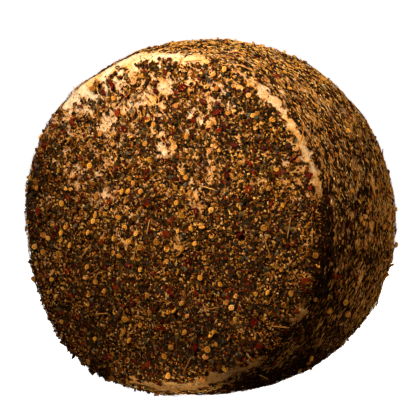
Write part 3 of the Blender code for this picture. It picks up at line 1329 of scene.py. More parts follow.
@dataclass
class CheeseBody:
    """The ball itself: two face grids and a side grid, closed, with the crust's relief."""

    surface: BallSurface
    wear: Wear
    finish: RindFinish = field(default_factory=RindFinish)
    face_cells: int = 124
    side_rows: int = 88
    crumb_relief: float = 0.42 * MM
    crumb_size: float = 1.5 * MM
    bare_depth: float = 0.35 * MM
    bare_ramp: tuple[float, float] = (1.4, 0.4)

    def _disc(self) -> tuple[np.ndarray, np.ndarray]:
        """A square grid laid on a disc: each square ring becomes a circle of even steps.

        Returns:
            Distances from the centre, as shares of the rim, and angles.
        """
        steps = np.linspace(-1, 1, self.face_cells + 1)
        a, b = (part.ravel() for part in np.meshgrid(steps, steps, indexing="ij"))
        wide = np.abs(a) >= np.abs(b)
        long_side = np.where(wide, a, b)
        short_side = np.where(wide, b, a)
        safe = np.where(long_side == 0, 1.0, long_side)
        turn = short_side / safe * math.pi / 4
        angle = np.where(wide, turn, math.pi / 2 - turn)
        angle = np.where(long_side < 0, angle + math.pi, angle)
        return np.abs(long_side), angle % (2 * math.pi)

    def _faces(self, ring: np.ndarray, disc_size: int) -> np.ndarray:
        """Quads of the two flat faces, and of the side between them.

        Args:
            ring: the disc's outermost points, in order round the axis.
            disc_size: points in each disc.

        Returns:
            Four point numbers for each quad.
        """
        grid = np.arange(disc_size).reshape(self.face_cells + 1, -1)
        face = np.stack([grid[:-1, :-1], grid[1:, :-1], grid[1:, 1:], grid[:-1, 1:]], axis=-1)
        front = face.reshape(-1, 4)
        between = 2 * disc_size + np.arange((self.side_rows - 1) * len(ring))
        rows = np.vstack([ring, between.reshape(-1, len(ring)), ring + disc_size])
        after = np.roll(rows, -1, axis=1)
        side = np.stack([rows[:-1], rows[1:], after[1:], after[:-1]], axis=-1).reshape(-1, 4)
        return np.concatenate([front, front[:, ::-1] + disc_size, side])

    def mesh(self) -> bpy.types.Mesh:
        """Builds the closed surface, its bareness, and where dark leaf and painted shade lie.

        Returns:
            The mesh.
        """
        share, angle = self._disc()
        whole = self.surface.path[-1]
        rim_path = self.surface.rim_path
        ring = np.flatnonzero(share > 1 - 1e-9)
        ring = ring[np.argsort(angle[ring])]
        row_path = np.linspace(rim_path, whole - rim_path, self.side_rows + 1)[1:-1]
        side_path = np.repeat(row_path, len(ring))
        side_angle = np.tile(angle[ring], self.side_rows - 1)
        path = np.concatenate([share * rim_path, whole - share * rim_path, side_path])
        turn = np.concatenate([angle, angle, side_angle])
        points, normals = self.surface.spots(path, turn)
        bare = self.wear.at(path, turn, points)
        leaf_and_shade = self.wear.dark_leaf_and_shade(path, turn, points)
        crumbs = self.wear.noise.at(points, self.crumb_size)
        height = self.surface.relief(points) + self.crumb_relief * crumbs * (1 - bare)
        deep = np.clip(bare * self.bare_ramp[0] - self.bare_ramp[1], 0, 1)
        height -= self.bare_depth * deep
        points += normals * height[:, None]
        points[:, 2] = np.maximum(points[:, 2], 0.0)
        faces = self._faces(ring, len(share))
        mesh = build_mesh("cheese_body", points, faces.ravel(), np.full(len(faces), 4))
        for name, values in ((BARE_NAME, bare), (LEAF_AND_SHADE_NAME, leaf_and_shade)):
            layer = mesh.attributes.new(name, "FLOAT", "POINT")
            layer.data.foreach_set("value", values.astype(np.float32))
        return mesh

    def build(self, shared: Finishes) -> bpy.types.Object:
        """Builds and dresses the piece, which stands for the CAD node.

        Args:
            shared: the shared node groups.

        Returns:
            The piece.
        """
        piece = show("cheese_body", self.mesh(), self.finish.material(shared), True)
        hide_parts(CAD_NODE)
        return piece


class Shape(Enum):
    """Shapes that small crumbs have."""

    SHARD = "shard"
    CHIP = "chip"
    CURL = "curl"

    def template(self) -> Template:
        """The closed mesh of this shape."""
        makers = {Shape.SHARD: Template.tetra, Shape.CHIP: Template.octa, Shape.CURL: Template.curl}
        return makers[self]()


@dataclass(frozen=True)
class CrumbKind:
    """One kind of small crumb: its shape, how many, how large, how it lies and where it is kept.

    Lengths are in millimetres and tilts in degrees. Clump says how strongly the kind gathers in
    clumps, and where: kinds of the same sign gather in the same places.
    """

    name: str
    slot: Slot
    shape: Shape
    count: int
    length: tuple[float, float]
    width: tuple[float, float]
    thickness: float
    lift: tuple[float, float]
    tilt: float
    bare_limit: tuple[float, float]
    clump: float
    finish: CrumbFinish


CRUMBS = (
    CrumbKind(
        "dark_herb_flakes", Slot.DARK_HERB, Shape.CHIP, 24500, (1.2, 3.4), (0.45, 0.85), 0.30,
        (0.3, 1.0), 10, (0.42, 0.86), 0.9,
        CrumbFinish(
            "dark_herb", rgb(24, 16, 3), rgb(58, 41, 10), rgb(126, 99, 46), 0.45, 0.8, 0.02, 1.0, 0.9
        ),
    ),
    CrumbKind(
        "brown_herb_flakes", Slot.BROWN_HERB, Shape.CHIP, 24500, (0.9, 2.2), (0.4, 0.8), 0.30,
        (0.2, 0.95), 12, (0.42, 0.88), 0.25,
        CrumbFinish(
            "brown_herb", rgb(50, 27, 3), rgb(104, 60, 9), rgb(190, 119, 26), 0.4, 0.85, 0.03, 1.0, 0.4
        ),
    ),
    CrumbKind(
        "golden_crumbs", Slot.GOLDEN, Shape.SHARD, 36000, (0.6, 1.7), (0.3, 0.6), 0.40,
        (0.3, 1.1), 18, (0.5, 0.95), -0.7,
        CrumbFinish(
            "golden_crumb", rgb(84, 45, 5), rgb(188, 114, 22), rgb(252, 190, 72), 0.4, 0.75, 0.06, 0.8
        ),
    ),
    CrumbKind(
        "pale_crumbs", Slot.GOLDEN, Shape.SHARD, 17000, (0.45, 1.5), (0.35, 0.65), 0.40,
        (0.3, 1.1), 18, (0.6, 1.0), -0.9,
        CrumbFinish(
            "pale_crumb", rgb(188, 116, 28), rgb(240, 176, 76), rgb(255, 232, 168), 0.3, 0.7, 0.1, 0.45, 0.5
        ),
    ),
    CrumbKind(
        "husk_curls", Slot.GOLDEN, Shape.CURL, 5200, (0.9, 2.1), (0.6, 1.0), 0.9,
        (0.6, 1.15), 18, (0.5, 0.95), -0.5,
        CrumbFinish(
            "husk_curl", rgb(104, 56, 10), rgb(190, 116, 32), rgb(244, 184, 88), 0.4, 0.75, 0.06, 0.6
        ),
    ),
    CrumbKind(
        "husk_slivers", Slot.GOLDEN, Shape.CHIP, 3400, (1.6, 3.6), (0.14, 0.26), 0.38,
        (0.6, 1.2), 9, (0.6, 1.0), -0.2,
        CrumbFinish(
            "husk_sliver", rgb(96, 50, 9), rgb(178, 110, 34), rgb(244, 190, 100), 0.3, 0.75, 0.06, 0.6
        ),
    ),
    CrumbKind(
        "herb_dust", Slot.CRUST, Shape.SHARD, 40000, (0.45, 1.2), (0.5, 0.8), 0.40,
        (0.0, 0.85), 18, (0.6, 1.25), 0.1,
        CrumbFinish(
            "herb_dust", rgb(24, 12, 2), rgb(72, 40, 8), rgb(154, 92, 23), 0.3, 0.85, 0.02, 1.0, 0.4
        ),
    ),
    CrumbKind(
        "chilli_bits", Slot.CHILLI, Shape.CHIP, 5600, (1.3, 3.4), (0.55, 0.95), 0.33,
        (0.5, 1.1), 12, (0.5, 0.95), 0.9,
        CrumbFinish(
            "chilli_bit", rgb(42, 6, 1), rgb(86, 13, 4), rgb(150, 50, 12), 0.5, 0.6, 0.08, 0.2
        ),
    ),
)


@dataclass
class CrumbLayer:
    """Thousands of crumbs of one kind, joined in one piece."""

    kind: CrumbKind
    surface: BallSurface
    wear: Wear
    seed: int
    floor_gap: float = 0.8 * MM
    side_limit: float = 0.6
    face_limit: float = 0.97
    clump_cells: tuple[float, float] = (4.2 * MM, 9 * MM)
    clump_shift: float = 0.5
    clump_strength: float = 1.1
    full_share: float = 0.72
    leaf_and_shade_thinning: float = 0.9
    proud_share: float = 0.004
    proud_tilt: tuple[float, float] = (45, 90)
    proud_lift: float = 0.3 * MM
    rolled_spread: float = 0.32
    rolled_length: float = 1.7
    rolled_width: tuple[float, float] = (0.50, 0.80)
    rolled_tilt: float = 0.6
    side_clump: float = 0.5
    # Tones that crumbs on the round side are pulled to, for dark and pale kinds: painted relief shade and
    # light.
    side_tone: tuple[float, float] = (0.04, 0.98)
    side_pull: float = 0.84
    side_pale_share: float = 0.66
    # Darkening of crumbs in the painted shade band past the front rim.
    shade_band_darkening: float = 0.6
    face_darkening: float = 0.2
    rich_shade: float = 1.3
    least_shade: float = 0.25
    tone_shape: tuple[float, float] = (1.5, 2.1)
    uneven: tuple[float, float] = (0.6, 1.35)
    curl_uneven: tuple[float, float] = (0.93, 1.08)
    bend: float = 1.3
    map_start: float = 0.02
    map_span: float = 0.96
    map_cell: tuple[float, float] = (0.016, 0.024)

    def __post_init__(self) -> None:
        """Notes whether the kind is a pale one, which clumps away from the dark ones."""
        self.pale = int(self.kind.clump < 0)

    def _kept(
        self,
        draw: np.random.Generator,
        points: np.ndarray,
        bare: np.ndarray,
        leaf_and_shade: np.ndarray,
        on_side: np.ndarray,
    ) -> np.ndarray:
        """Which crumbs stay: few on bare rind and between clumps, and few pale ones on dark leaf patches
        and in the painted shade band.

        Args:
            draw: source of random numbers.
            points: the crumbs' places.
            bare: how bare the rind is there.
            leaf_and_shade: how strong the dark leaf patches and the painted shade band are there.
            on_side: which crumbs lie on the round side.

        Returns:
            True for each that stays.
        """
        kind, count = self.kind, len(points)
        noise, (small, wide) = self.wear.noise, self.clump_cells
        clumps = noise.at(points + self.clump_shift, small) + noise.at(points, wide)
        clumps = clumps * np.where(on_side, self.side_clump, 1.0)
        keep = bare < draw.uniform(*kind.bare_limit, count)
        keep &= draw.random(count) < self.full_share + self.clump_strength * kind.clump * clumps
        if self.pale:
            # Fewer pale crumbs on dark leaf patches and in the painted shade band.
            keep &= draw.random(count) > self.leaf_and_shade_thinning * leaf_and_shade
            keep &= (draw.random(count) < self.side_pale_share) | ~on_side
        return keep & (points[:, 2] > self.floor_gap)

    def _axes(
        self, draw: np.random.Generator, normals: np.ndarray, on_side: np.ndarray
    ) -> tuple[np.ndarray, np.ndarray]:
        """Sizes and turns: any turn on the flat faces, rolled along the turn on the round side.

        Args:
            draw: source of random numbers.
            normals: outward normals.
            on_side: which crumbs lie on the round side.

        Returns:
            Rows of each crumb's half axes, and which crumbs stand proud.
        """
        kind, count = self.kind, len(normals)
        length = draw.uniform(*kind.length, count) * MM / 2
        width = length * draw.uniform(*kind.width, count)
        proud = (draw.random(count) < self.proud_share) & (normals[:, 1] < 0)
        tilt = np.radians(draw.normal(0, kind.tilt, count))
        tilt = tilt * np.where(on_side, self.rolled_tilt, 1.0)
        tilt = np.where(proud, np.radians(draw.uniform(*self.proud_tilt, count)), tilt)
        spin, lean = draw.uniform(0, 2 * math.pi, (2, count))
        spin = np.where(on_side, draw.normal(0, self.rolled_spread, count), spin)
        length = length * np.where(on_side, self.rolled_length, 1.0)
        width = width * np.where(on_side, self.rolled_width[self.pale], 1.0)
        thick = width if kind.shape is Shape.CURL else kind.thickness * MM / 2
        return sized(frames_on(normals, spin, tilt, lean), length, width, thick), proud

    def _colour(
        self,
        draw: np.random.Generator,
        normals: np.ndarray,
        leaf_and_shade: np.ndarray,
        on_side: np.ndarray,
    ) -> np.ndarray:
        """Colour places: on the round side dark kinds are pulled to their darkest tone and pale kinds to
        their lightest, as painted relief shade and light, and tones are darker in the painted shade band
        and on dark leaf patches.

        Args:
            draw: source of random numbers.
            normals: outward normals.
            leaf_and_shade: how strong the dark leaf patches and the painted shade band are.
            on_side: which crumbs lie on the round side.

        Returns:
            One place on the colour map for each crumb.
        """
        tone = draw.beta(*self.tone_shape, len(normals))
        # On the round side dark kinds are pulled to their darkest tone and pale kinds to their lightest:
        # painted relief shade and light.
        pull = 0.0 if self.kind.slot is Slot.CHILLI else self.side_pull
        tone += on_side * pull * (self.side_tone[self.pale] - tone)
        on_face = np.abs(normals[:, 1]) > self.face_limit
        # Painted shade: crumbs are darker in the shade band past the front rim; on the face, dark leaf
        # patches darken them.
        tone *= 1 - np.where(on_face, self.face_darkening, self.shade_band_darkening) * leaf_and_shade
        power = np.clip(1 - self.rich_shade * leaf_and_shade * on_face, self.least_shade, 1)
        shade = draw.random(len(normals)) ** power
        return self.map_start + self.map_span * np.stack([tone, shade], axis=1)

    def build(self, shared: Finishes) -> bpy.types.Object:
        """Draws the places, thins them where the rind is bare, and builds the piece.

        Args:
            shared: the shared node groups.

        Returns:
            The piece.
        """
        kind, surface = self.kind, self.surface
        draw = np.random.default_rng(self.seed)
        path, angle = surface.draw_spots(draw, kind.count)
        points, normals = surface.spots(path, angle)
        bare = self.wear.at(path, angle, points)
        leaf_and_shade = self.wear.dark_leaf_and_shade(path, angle, points)
        on_side = np.abs(normals[:, 1]) < self.side_limit
        keep = self._kept(draw, points, bare, leaf_and_shade, on_side)
        axes, proud = self._axes(draw, normals, on_side)
        lift = surface.relief(points) + draw.uniform(*kind.lift, kind.count) * MM
        lift += self.proud_lift * proud
        colour = self._colour(draw, normals, leaf_and_shade, on_side)
        placement = Placement(points + normals * lift[:, None], axes, colour).kept(keep)
        template = kind.shape.template()
        size = (len(placement.centres), len(template.points), 3)
        jitter = draw.uniform(*self.uneven, size)
        if kind.shape is Shape.CURL:
            jitter = draw.uniform(*self.curl_uneven, size)
        bend = draw.normal(0, self.bend, size[0]) * (kind.shape is Shape.CHIP)
        mesh = repeat_shape(kind.name, template, placement, jitter, self.map_cell, bend)
        return show(kind.name, mesh, kind.finish.material(shared), False)


@dataclass
class Topping:
    """One large seed, chip or stem: its size and its frame on the ball."""

    size: float
    width: float
    matrix: Matrix


@dataclass
class SharedDraw:
    """Draws the large toppings in the order and by the rule that the part's solid uses."""

    form: BallForm
    steps_edge: int = 3
    steps_side: int = 10
    seed_radius: tuple[float, float] = (0.0015, 0.0019)
    seed_width: tuple[float, float] = (0.8, 1.0)
    chilli_radius: tuple[float, float] = (0.0020, 0.0032)
    chilli_width: tuple[float, float] = (0.55, 0.8)
    chilli_tear: tuple[float, float] = (0.75, 1.1)
    chilli_sides: int = 5
    stem_length: tuple[float, float] = (0.0075, 0.0115)
    gap: float = 0.0012
    floor_clearance: float = 0.004
    candidates: int = 12
    start: int = 7
    solid_counts: tuple[int, int, int] = (40, 98, 165)
    more_counts: tuple[int, int, int] = (18, 230, 460)
    side_every: tuple[int, int, int] = (1, 6, 7)

    def __post_init__(self) -> None:
        """Turns the coarse outline of the solid into shares of its area."""
        form = self.form
        inner = form.face_distance - form.edge_rounding
        half = []
        for step in range(self.steps_edge):
            turn = math.pi / 2 + (form.side_angle - math.pi / 2) * step / self.steps_edge
            radius = form.rim_radius + form.edge_rounding * math.cos(turn)
            half.append((radius, inner + form.edge_rounding * math.sin(turn)))
        for step in range(self.steps_side // 2):
            turn = form.side_angle * (1 - 2 * step / self.steps_side)
            half.append((form.radius * math.cos(turn), form.radius * math.sin(turn)))
        mirrored = [(radius, -height) for radius, height in reversed(half)]
        top = form.face_distance + form.face_crown
        outline = [(0.0, top), *half, (form.radius, 0.0), *mirrored, (0.0, -top)]
        self.outline = np.array(outline)
        step = np.diff(self.outline, axis=0)
        band = np.hypot(step[:, 0], step[:, 1]) * (self.outline[1:, 0] + self.outline[:-1, 0]) / 2
        self.sums = np.concatenate([[0.0], np.cumsum(band)])
        self.middle = form.middle_height()
        self.draw = random.Random(self.start)
        self.taken: list[tuple[float, float, float, float]] = []

    def _place(self, share: float, angle: float) -> tuple[Vector, Vector]:
        """The point at this share of the area and this angle, with the normal there.

        Args:
            share: share of the area from the shown face's centre.
            angle: angle round the axis.

        Returns:
            The point and the normal, with the axis along Z.
        """
        wanted = share * self.sums[-1]
        i = min(int(np.searchsorted(self.sums, wanted, "right")), len(self.outline) - 1) - 1
        part = (wanted - self.sums[i]) / (self.sums[i + 1] - self.sums[i])
        (r0, z0), (r1, z1) = self.outline[i], self.outline[i + 1]
        radius = (r0 + (r1 - r0) * part) * float(self.form.uneven(np.array(angle)))
        outwards = Vector((math.cos(angle), math.sin(angle), 0))
        point = outwards * radius + Vector((0, 0, z0 + (z1 - z0) * part))
        return point, (outwards * (z0 - z1) + Vector((0, 0, r1 - r0))).normalized()

    def _free(self, room: float) -> tuple[Vector, Vector] | None:
        """The best of a few drawn places: the one furthest from the toppings already there.

        Args:
            room: radius that the topping needs.

        Returns:
            The point and the normal, or nothing if all are too close.
        """
        best, found = 0.0, None
        taken = np.array(self.taken).reshape(-1, 4)
        for _ in range(self.candidates):
            point, normal = self._place(self.draw.random(), self.draw.uniform(0, 2 * math.pi))
            gap = self.form.radius
            if len(taken):
                away = np.linalg.norm(taken[:, :3] - np.array(point), axis=1)
                gap = float((away - room - taken[:, 3]).min())
            above = point.y + self.middle > self.floor_clearance
            if above and gap > self.gap and gap > best:
                best, found = gap, (point, normal)
        return found

    def _settle(self, size: float, width: float) -> list[Topping]:
        """Finds a place, turns the topping and notes it, in the solid's order of draws.

        Args:
            size: half its length, and the radius of the room that it needs.
            width: its width as a share of its length.

        Returns:
            The topping in a list, or an empty list.
        """
        found = self._free(size)
        spin = Matrix.Rotation(self.draw.uniform(0, 2 * math.pi), 4, "Z")
        if not found:
            return []
        point, normal = found
        self.taken.append((*point, size))
        upright = normal.to_track_quat("Z", "Y").to_matrix().to_4x4()
        place = Matrix.Translation((self.form.side_shift, 0, self.middle))
        stand = place @ Matrix.Rotation(math.pi / 2, 4, "X")
        return [Topping(size, width, stand @ Matrix.Translation(point) @ upright @ spin)]

    def _stem(self) -> list[Topping]:
        """One dry stem, which has no width of its own."""
        return self._settle(self.draw.uniform(*self.stem_length) / 2, 1.0)

    def _chip(self) -> list[Topping]:
        """One chip of chilli skin; the solid draws its torn sides, which are passed over here.

        Returns:
            The chip in a list, or an empty list.
        """
        radius, width = (
            self.draw.uniform(*span) for span in (self.chilli_radius, self.chilli_width)
        )
        for _ in range(self.chilli_sides):
            self.draw.uniform(*self.chilli_tear)
        return self._settle(radius, width)

    def _seed(self) -> list[Topping]:
        """One chilli seed."""
        spans = (self.seed_radius, self.seed_width)
        return self._settle(*(self.draw.uniform(*span) for span in spans))

    def all_kinds(self) -> list[list[Topping]]:
        """Stems, chips and seeds: those of the solid, then more, few of them on the round side.

        Returns:
            The three lists.
        """
        makers = (self._stem, self._chip, self._seed)
        found = [
            [topping for _ in range(count) for topping in maker()]
            for maker, count in zip(makers, self.solid_counts)
        ]
        for toppings, maker, count, every in zip(
            found, makers, self.more_counts, self.side_every
        ):
            more = [topping for _ in range(count) for topping in maker()]
            toppings += fewer_on_side(more, every)
        return found


def topping_arrays(toppings: list[Topping]) -> tuple[np.ndarray, np.ndarray, np.ndarray]:
    """Centres, axes and sizes of toppings as arrays.

    Args:
        toppings: the toppings.

    Returns:
        Centres, rows of unit axes, and pairs of size and width.
    """
    matrices = np.array([np.array(one.matrix) for one in toppings])
    sizes = np.array([(one.size, one.width) for one in toppings])
    return matrices[:, :3, 3], matrices[:, :3, :3].transpose(0, 2, 1), sizes


def fewer_on_side(toppings: list[Topping], every: int) -> list[Topping]:
    """Keeps all toppings of the flat faces, and one in so many of those on the round side.

    Args:
        toppings: the toppings.
        every: how many on the round side there are for each that stays.

    Returns:
        Those that stay.
    """
    flat = np.abs(topping_arrays(toppings)[1][:, 2, 1]) > FLAT_LIMIT
    return [one for i, one in enumerate(toppings) if flat[i] or i % every == 0]


def clear_of_rim(toppings: list[Topping], wear: Wear) -> list[Topping]:
    """Leaves out the toppings that would lie on the front's bare rim.

    Args:
        toppings: the toppings.
        wear: how bare the ball is.

    Returns:
        Those that stay.
    """
    on_band = wear.bare_band(topping_arrays(toppings)[0])
    return [one for one, bare in zip(toppings, on_band) if not bare]


@dataclass(frozen=True)
class SeedFinish:
    """A seed's finish by map height: painted shade at edge and groove, painted highlight on the rim."""

    # The edge and groove tones are painted shade, and the rim tone is a painted highlight.
    edge: Colour = rgb(108, 54, 4)
    rim: Colour = rgb(253, 182, 54)
    groove: Colour = rgb(156, 82, 8)
    middle: Colour = rgb(232, 152, 34)
    brown: Colour = rgb(172, 106, 38)
    stops: tuple[float, ...] = (0.0, 0.36, 0.58, 0.74, 0.9)
    brown_range: tuple[float, float, float, float] = (0.55, 0.0, 0.0, 0.75)
    roughness: float = 0.45
    gloss: float = 0.35

    def material(self, shared: Finishes) -> bpy.types.Material:
        """Builds the material: a ramp along the profile, browned by the seed's own tone.

        Args:
            shared: the shared node groups.

        Returns:
            The material.
        """
        material, graph, shader = Finishes.start("chilli_seed")
        place = graph.add("ShaderNodeUVMap", uv_map=MAP_NAME)
        across, along, _ = graph.parts(place.outputs[0])
        ramp = graph.add("ShaderNodeValToRGB")
        graph.feed(ramp, 0, along)
        # The ramp paints shade on the underside edge and in the groove, and a highlight on the raised rim.
        tones = (self.edge, self.edge, self.rim, self.groove, self.middle)
        elements = ramp.color_ramp.elements
        for number, (position, colour) in enumerate(zip(self.stops, tones)):
            stop = elements[number] if number < len(elements) else elements.new(position)
            stop.position, stop.color = position, colour
        brown = graph.span(across, *self.brown_range)
        tone = graph.blend(brown, ramp.outputs[0], self.brown, "MULTIPLY")
        graph.feed(shader, "Base Color", tone)
        graph.feed(shader, "Roughness", self.roughness)
        graph.feed(shader, "Specular IOR Level", self.gloss)
        return material


@dataclass
class ChilliSeeds:
    """Flat round chilli seeds with a raised rim, a groove and a low middle."""

    toppings: list[Topping]
    thickness: float = 1.35 * MM
    growth: float = 1.04
    lie: float = 1.15 * MM
    seed: int = 21
    columns: int = 10
    level_limit: float = 0.99
    level_side: float = 30 * MM
    floor_gap: float = 8 * MM
    twin_share: float = 0.28
    twin_gap: tuple[float, float] = (1.75, 2.2)
    twin_size: tuple[float, float] = (0.86, 1.05)
    tilt: float = 24.0
    proud_share: float = 0.10
    proud_tilt: tuple[float, float] = (35, 75)
    rise: float = 0.2
    depth: tuple[float, float] = (-0.9, 0.25)
    scale: tuple[float, float] = (0.82, 1.06)
    tone: tuple[float, float] = (1.7, 1.9)
    uneven: tuple[float, float] = (0.84, 1.1)
    finish: SeedFinish = SeedFinish()
    profile: tuple[tuple[float, float], ...] = (
        (0.0, -0.8), (0.78, -0.7), (1.0, 0.0), (0.86, 0.8), (0.6, 0.1), (0.34, 0.4), (0.0, 0.6),
    )

    def _companions(
        self, draw: np.random.Generator, centres: np.ndarray, axes: np.ndarray, sizes: np.ndarray
    ) -> tuple[np.ndarray, np.ndarray, np.ndarray]:
        """Adds a second seed beside some of them, because real ones cling together.

        Args:
            draw: source of random numbers.
            centres: centres of the seeds.
            axes: their unit axes.
            sizes: their sizes and widths.

        Returns:
            Centres, axes and sizes of all seeds.
        """
        count = len(centres)
        level = np.abs(axes[:, 2, 1]) > self.level_limit
        level |= np.abs(centres[:, 1]) < self.level_side
        chosen = level & (draw.random(count) < self.twin_share) & (centres[:, 2] > self.floor_gap)
        away = sizes[:, :1] * draw.uniform(*self.twin_gap, (count, 1))
        twin_sizes = sizes[chosen] * draw.uniform(*self.twin_size, (chosen.sum(), 1))
        return (
            np.concatenate([centres, (centres + axes[:, 0] * away)[chosen]]),
            np.concatenate([axes, axes[chosen]]),
            np.concatenate([sizes, twin_sizes]),
        )

    def build(self, surface: BallSurface, shared: Finishes) -> bpy.types.Object:
        """Lays each seed on the coating, some tipped on edge.

        Args:
            surface: the ball's outside.
            shared: the shared node groups.

        Returns:
            The piece.
        """
        draw = np.random.default_rng(self.seed)
        centres, axes, sizes = self._companions(draw, *topping_arrays(self.toppings))
        count = len(centres)
        tilt = np.radians(np.abs(draw.normal(0, self.tilt, count)))
        proud = draw.random(count) < self.proud_share
        tilt = np.where(proud, np.radians(draw.uniform(*self.proud_tilt, count)), tilt)
        up = axes[:, 2].copy()
        axes = tip_axes(axes, tilt, draw.uniform(0, 2 * math.pi, count))
        lift = surface.relief(centres) + self.lie + draw.uniform(*self.depth, count) * MM
        lift += np.sin(tilt) * sizes[:, 0] * self.rise
        centres = centres + up * lift[:, None]
        radius = sizes[:, 0] * self.growth * draw.uniform(*self.scale, count)
        axes = sized(axes, radius, radius * sizes[:, 1], self.thickness / 2)
        placement = Placement(centres, axes, map_places(draw.beta(*self.tone, count)))
        template = Template.turned(self.profile, self.columns)
        jitter = draw.uniform(*self.uneven, (count, len(template.points), 3))
        mesh = repeat_shape("chilli_seeds", template, placement, jitter, TOPPING_CELL)
        return show("chilli_seeds", mesh, self.finish.material(shared), True)


@dataclass
class ChilliChips:
    """Curled, torn chips of deep red chilli skin."""

    toppings: list[Topping]
    thickness: float = 0.5 * MM
    columns: int = 8
    lie: float = 0.95 * MM
    seed: int = 22
    side_size: float = 0.72
    tilt: float = 16.0
    depth: tuple[float, float] = (-0.6, 0.15)
    tone: tuple[float, float] = (2.0, 2.4)
    least: float = 0.55
    uneven: tuple[float, float] = (0.9, 1.1)
    bend: tuple[float, float] = (0.6, 1.4)
    finish: CrumbFinish = CrumbFinish(
        "chilli_skin", rgb(48, 6, 1), rgb(104, 17, 3), rgb(156, 56, 12), 0.6, 0.6, 0.05, 0.3
    )
    profile: tuple[tuple[float, float], ...] = (
        (0.0, -0.8), (0.8, -0.6), (1.0, 0.2), (0.7, 0.5), (0.35, 0.2), (0.0, 0.5),
    )

    def build(self, surface: BallSurface, shared: Finishes) -> bpy.types.Object:
        """Lays each chip on the coating, with a torn outline and ends that curl up or down.

        Args:
            surface: the ball's outside.
            shared: the shared node groups.

        Returns:
            The piece.
        """
        draw = np.random.default_rng(self.seed)
        centres, axes, sizes = topping_arrays(self.toppings)
        count = len(centres)
        up = axes[:, 2].copy()
        sizes = sizes * np.where(np.abs(up[:, 1:2]) < FLAT_LIMIT, self.side_size, 1.0)
        tilt = np.radians(draw.normal(0, self.tilt, count))
        axes = tip_axes(axes, tilt, draw.uniform(0, 2 * math.pi, count))
        lift = surface.relief(centres) + self.lie + draw.uniform(*self.depth, count) * MM
        centres = centres + up * lift[:, None]
        axes = sized(axes, sizes[:, 0], sizes[:, 0] * sizes[:, 1], self.thickness / 2)
        placement = Placement(centres, axes, map_places(draw.beta(*self.tone, count)))
        template = Template.turned(self.profile, self.columns)
        torn = torn_outline(draw, count, template, self.columns, self.least)
        torn = torn * draw.uniform(*self.uneven, torn.shape)
        bend = draw.normal(*self.bend, count)
        mesh = repeat_shape("chilli_chips", template, placement, torn, TOPPING_CELL, bend)
        return show("chilli_chips", mesh, self.finish.material(shared), True)


@dataclass
class DryStems:
    """Thin straw-coloured stems that lie on the coating."""

    toppings: list[Topping]
    radius: float = 0.34 * MM
    lie: float = 1.05 * MM
    seed: int = 23
    columns: int = 6
    tone: tuple[float, float] = (2.0, 2.0)
    uneven: tuple[float, float] = (0.9, 1.1)
    finish: CrumbFinish = CrumbFinish(
        "dry_stem", rgb(104, 56, 14), rgb(190, 120, 44), rgb(236, 184, 104), 0.4, 0.7, 0.1, 0.4
    )
    profile: tuple[tuple[float, float], ...] = (
        (0.0, -1.0), (0.75, -0.98), (1.0, -0.5), (0.9, 0.0), (0.95, 0.5), (0.7, 0.97), (0.0, 1.0),
    )

    def build(self, surface: BallSurface, shared: Finishes) -> bpy.types.Object:
        """Lays each stem along its own X axis, straight and level on the coating.

        Args:
            surface: the ball's outside.
            shared: the shared node groups.

        Returns:
            The piece.
        """
        draw = np.random.default_rng(self.seed)
        centres, axes, sizes = topping_arrays(self.toppings)
        count = len(centres)
        centres = centres + axes[:, 2] * (surface.relief(centres) + self.lie)[:, None]
        axes = sized(axes[:, [2, 1, 0]], self.radius, self.radius, sizes[:, 0])
        placement = Placement(centres, axes, map_places(draw.beta(*self.tone, count)))
        template = Template.turned(self.profile, self.columns)
        jitter = draw.uniform(*self.uneven, (count, len(template.points), 3))
        jitter[:, :, 2] = 1.0
        mesh = repeat_shape("dry_stems", template, placement, jitter, TOPPING_CELL)
        return show("dry_stems", mesh, self.finish.material(shared), True)


@dataclass(frozen=True)
class LooseBit(TableRow):
    """A bit that sticks out: angle in degrees, millimetres past the front rim, length and tone."""

    angle: float
    out: float
    length: float
    tone: float


LOOSE_BITS = LooseBit.rows(
    (107, 32.7, 2.8, 0.45), (109.5, 31, 1.8, 0.2), (98, 40.5, 1.9, 0.15), (89.5, 46.5, 2.6, 0.7),
    (87, 49, 3.4, 0.9), (84.3, 51.8, 2.8, 0.75), (79.5, 55.5, 2.6, 0.6), (77, 58.1, 3.0, 0.7),
    (68.5, 67, 4.6, 0.95), (65, 69, 4.0, 0.7), (53, 76, 2.2, 0.3), (4, 89, 2.0, 0.4),
    (-25.5, 85.6, 3.0, 0.35), (-34, 81, 2.8, 0.5), (-39, 76.7, 2.4, 0.1), (-100, 22, 4.2, 0.05),
    (-113, 17.4, 3.4, 0.2), (-122, 9.5, 4.2, 0.05), (-129, 8.6, 4.8, 0.05), (-131.5, 5, 3.4, 0.1),
    (-152, 7, 3.0, 0.1), (151, 9, 2.8, 0.1), (158, 8, 3.2, 0.05), (171, 7.4, 2.4, 0.3),
)


@dataclass(frozen=True)
class RaggedStretch:
    """A stretch round the ball where the coating is rough: many small bits stick out along it.

    Angles are in degrees, and reach is millimetres past the front rim, at its two ends.
    """

    angle: tuple[float, float]
    reach: tuple[float, float]
    count: int
    length: tuple[float, float]
    tone: tuple[float, float]


RAGGED_STRETCHES = (
    RaggedStretch((-150, -125), (7.5, 8.8), 52, (1.0, 4.2), (0.0, 0.35)),
    RaggedStretch((-133, -112), (7.0, 18.0), 80, (1.0, 5.2), (0.0, 0.30)),
    RaggedStretch((-112, -96), (18.0, 26.0), 30, (1.0, 4.6), (0.0, 0.30)),
    RaggedStretch((140, 182), (12.0, 7.4), 44, (0.9, 2.6), (0.0, 0.5)),
    RaggedStretch((64, 112), (70.0, 30.0), 36, (0.9, 2.4), (0.2, 0.9)),
    RaggedStretch((-44, -24), (73.0, 86.0), 12, (0.9, 2.6), (0.0, 0.5)),
)


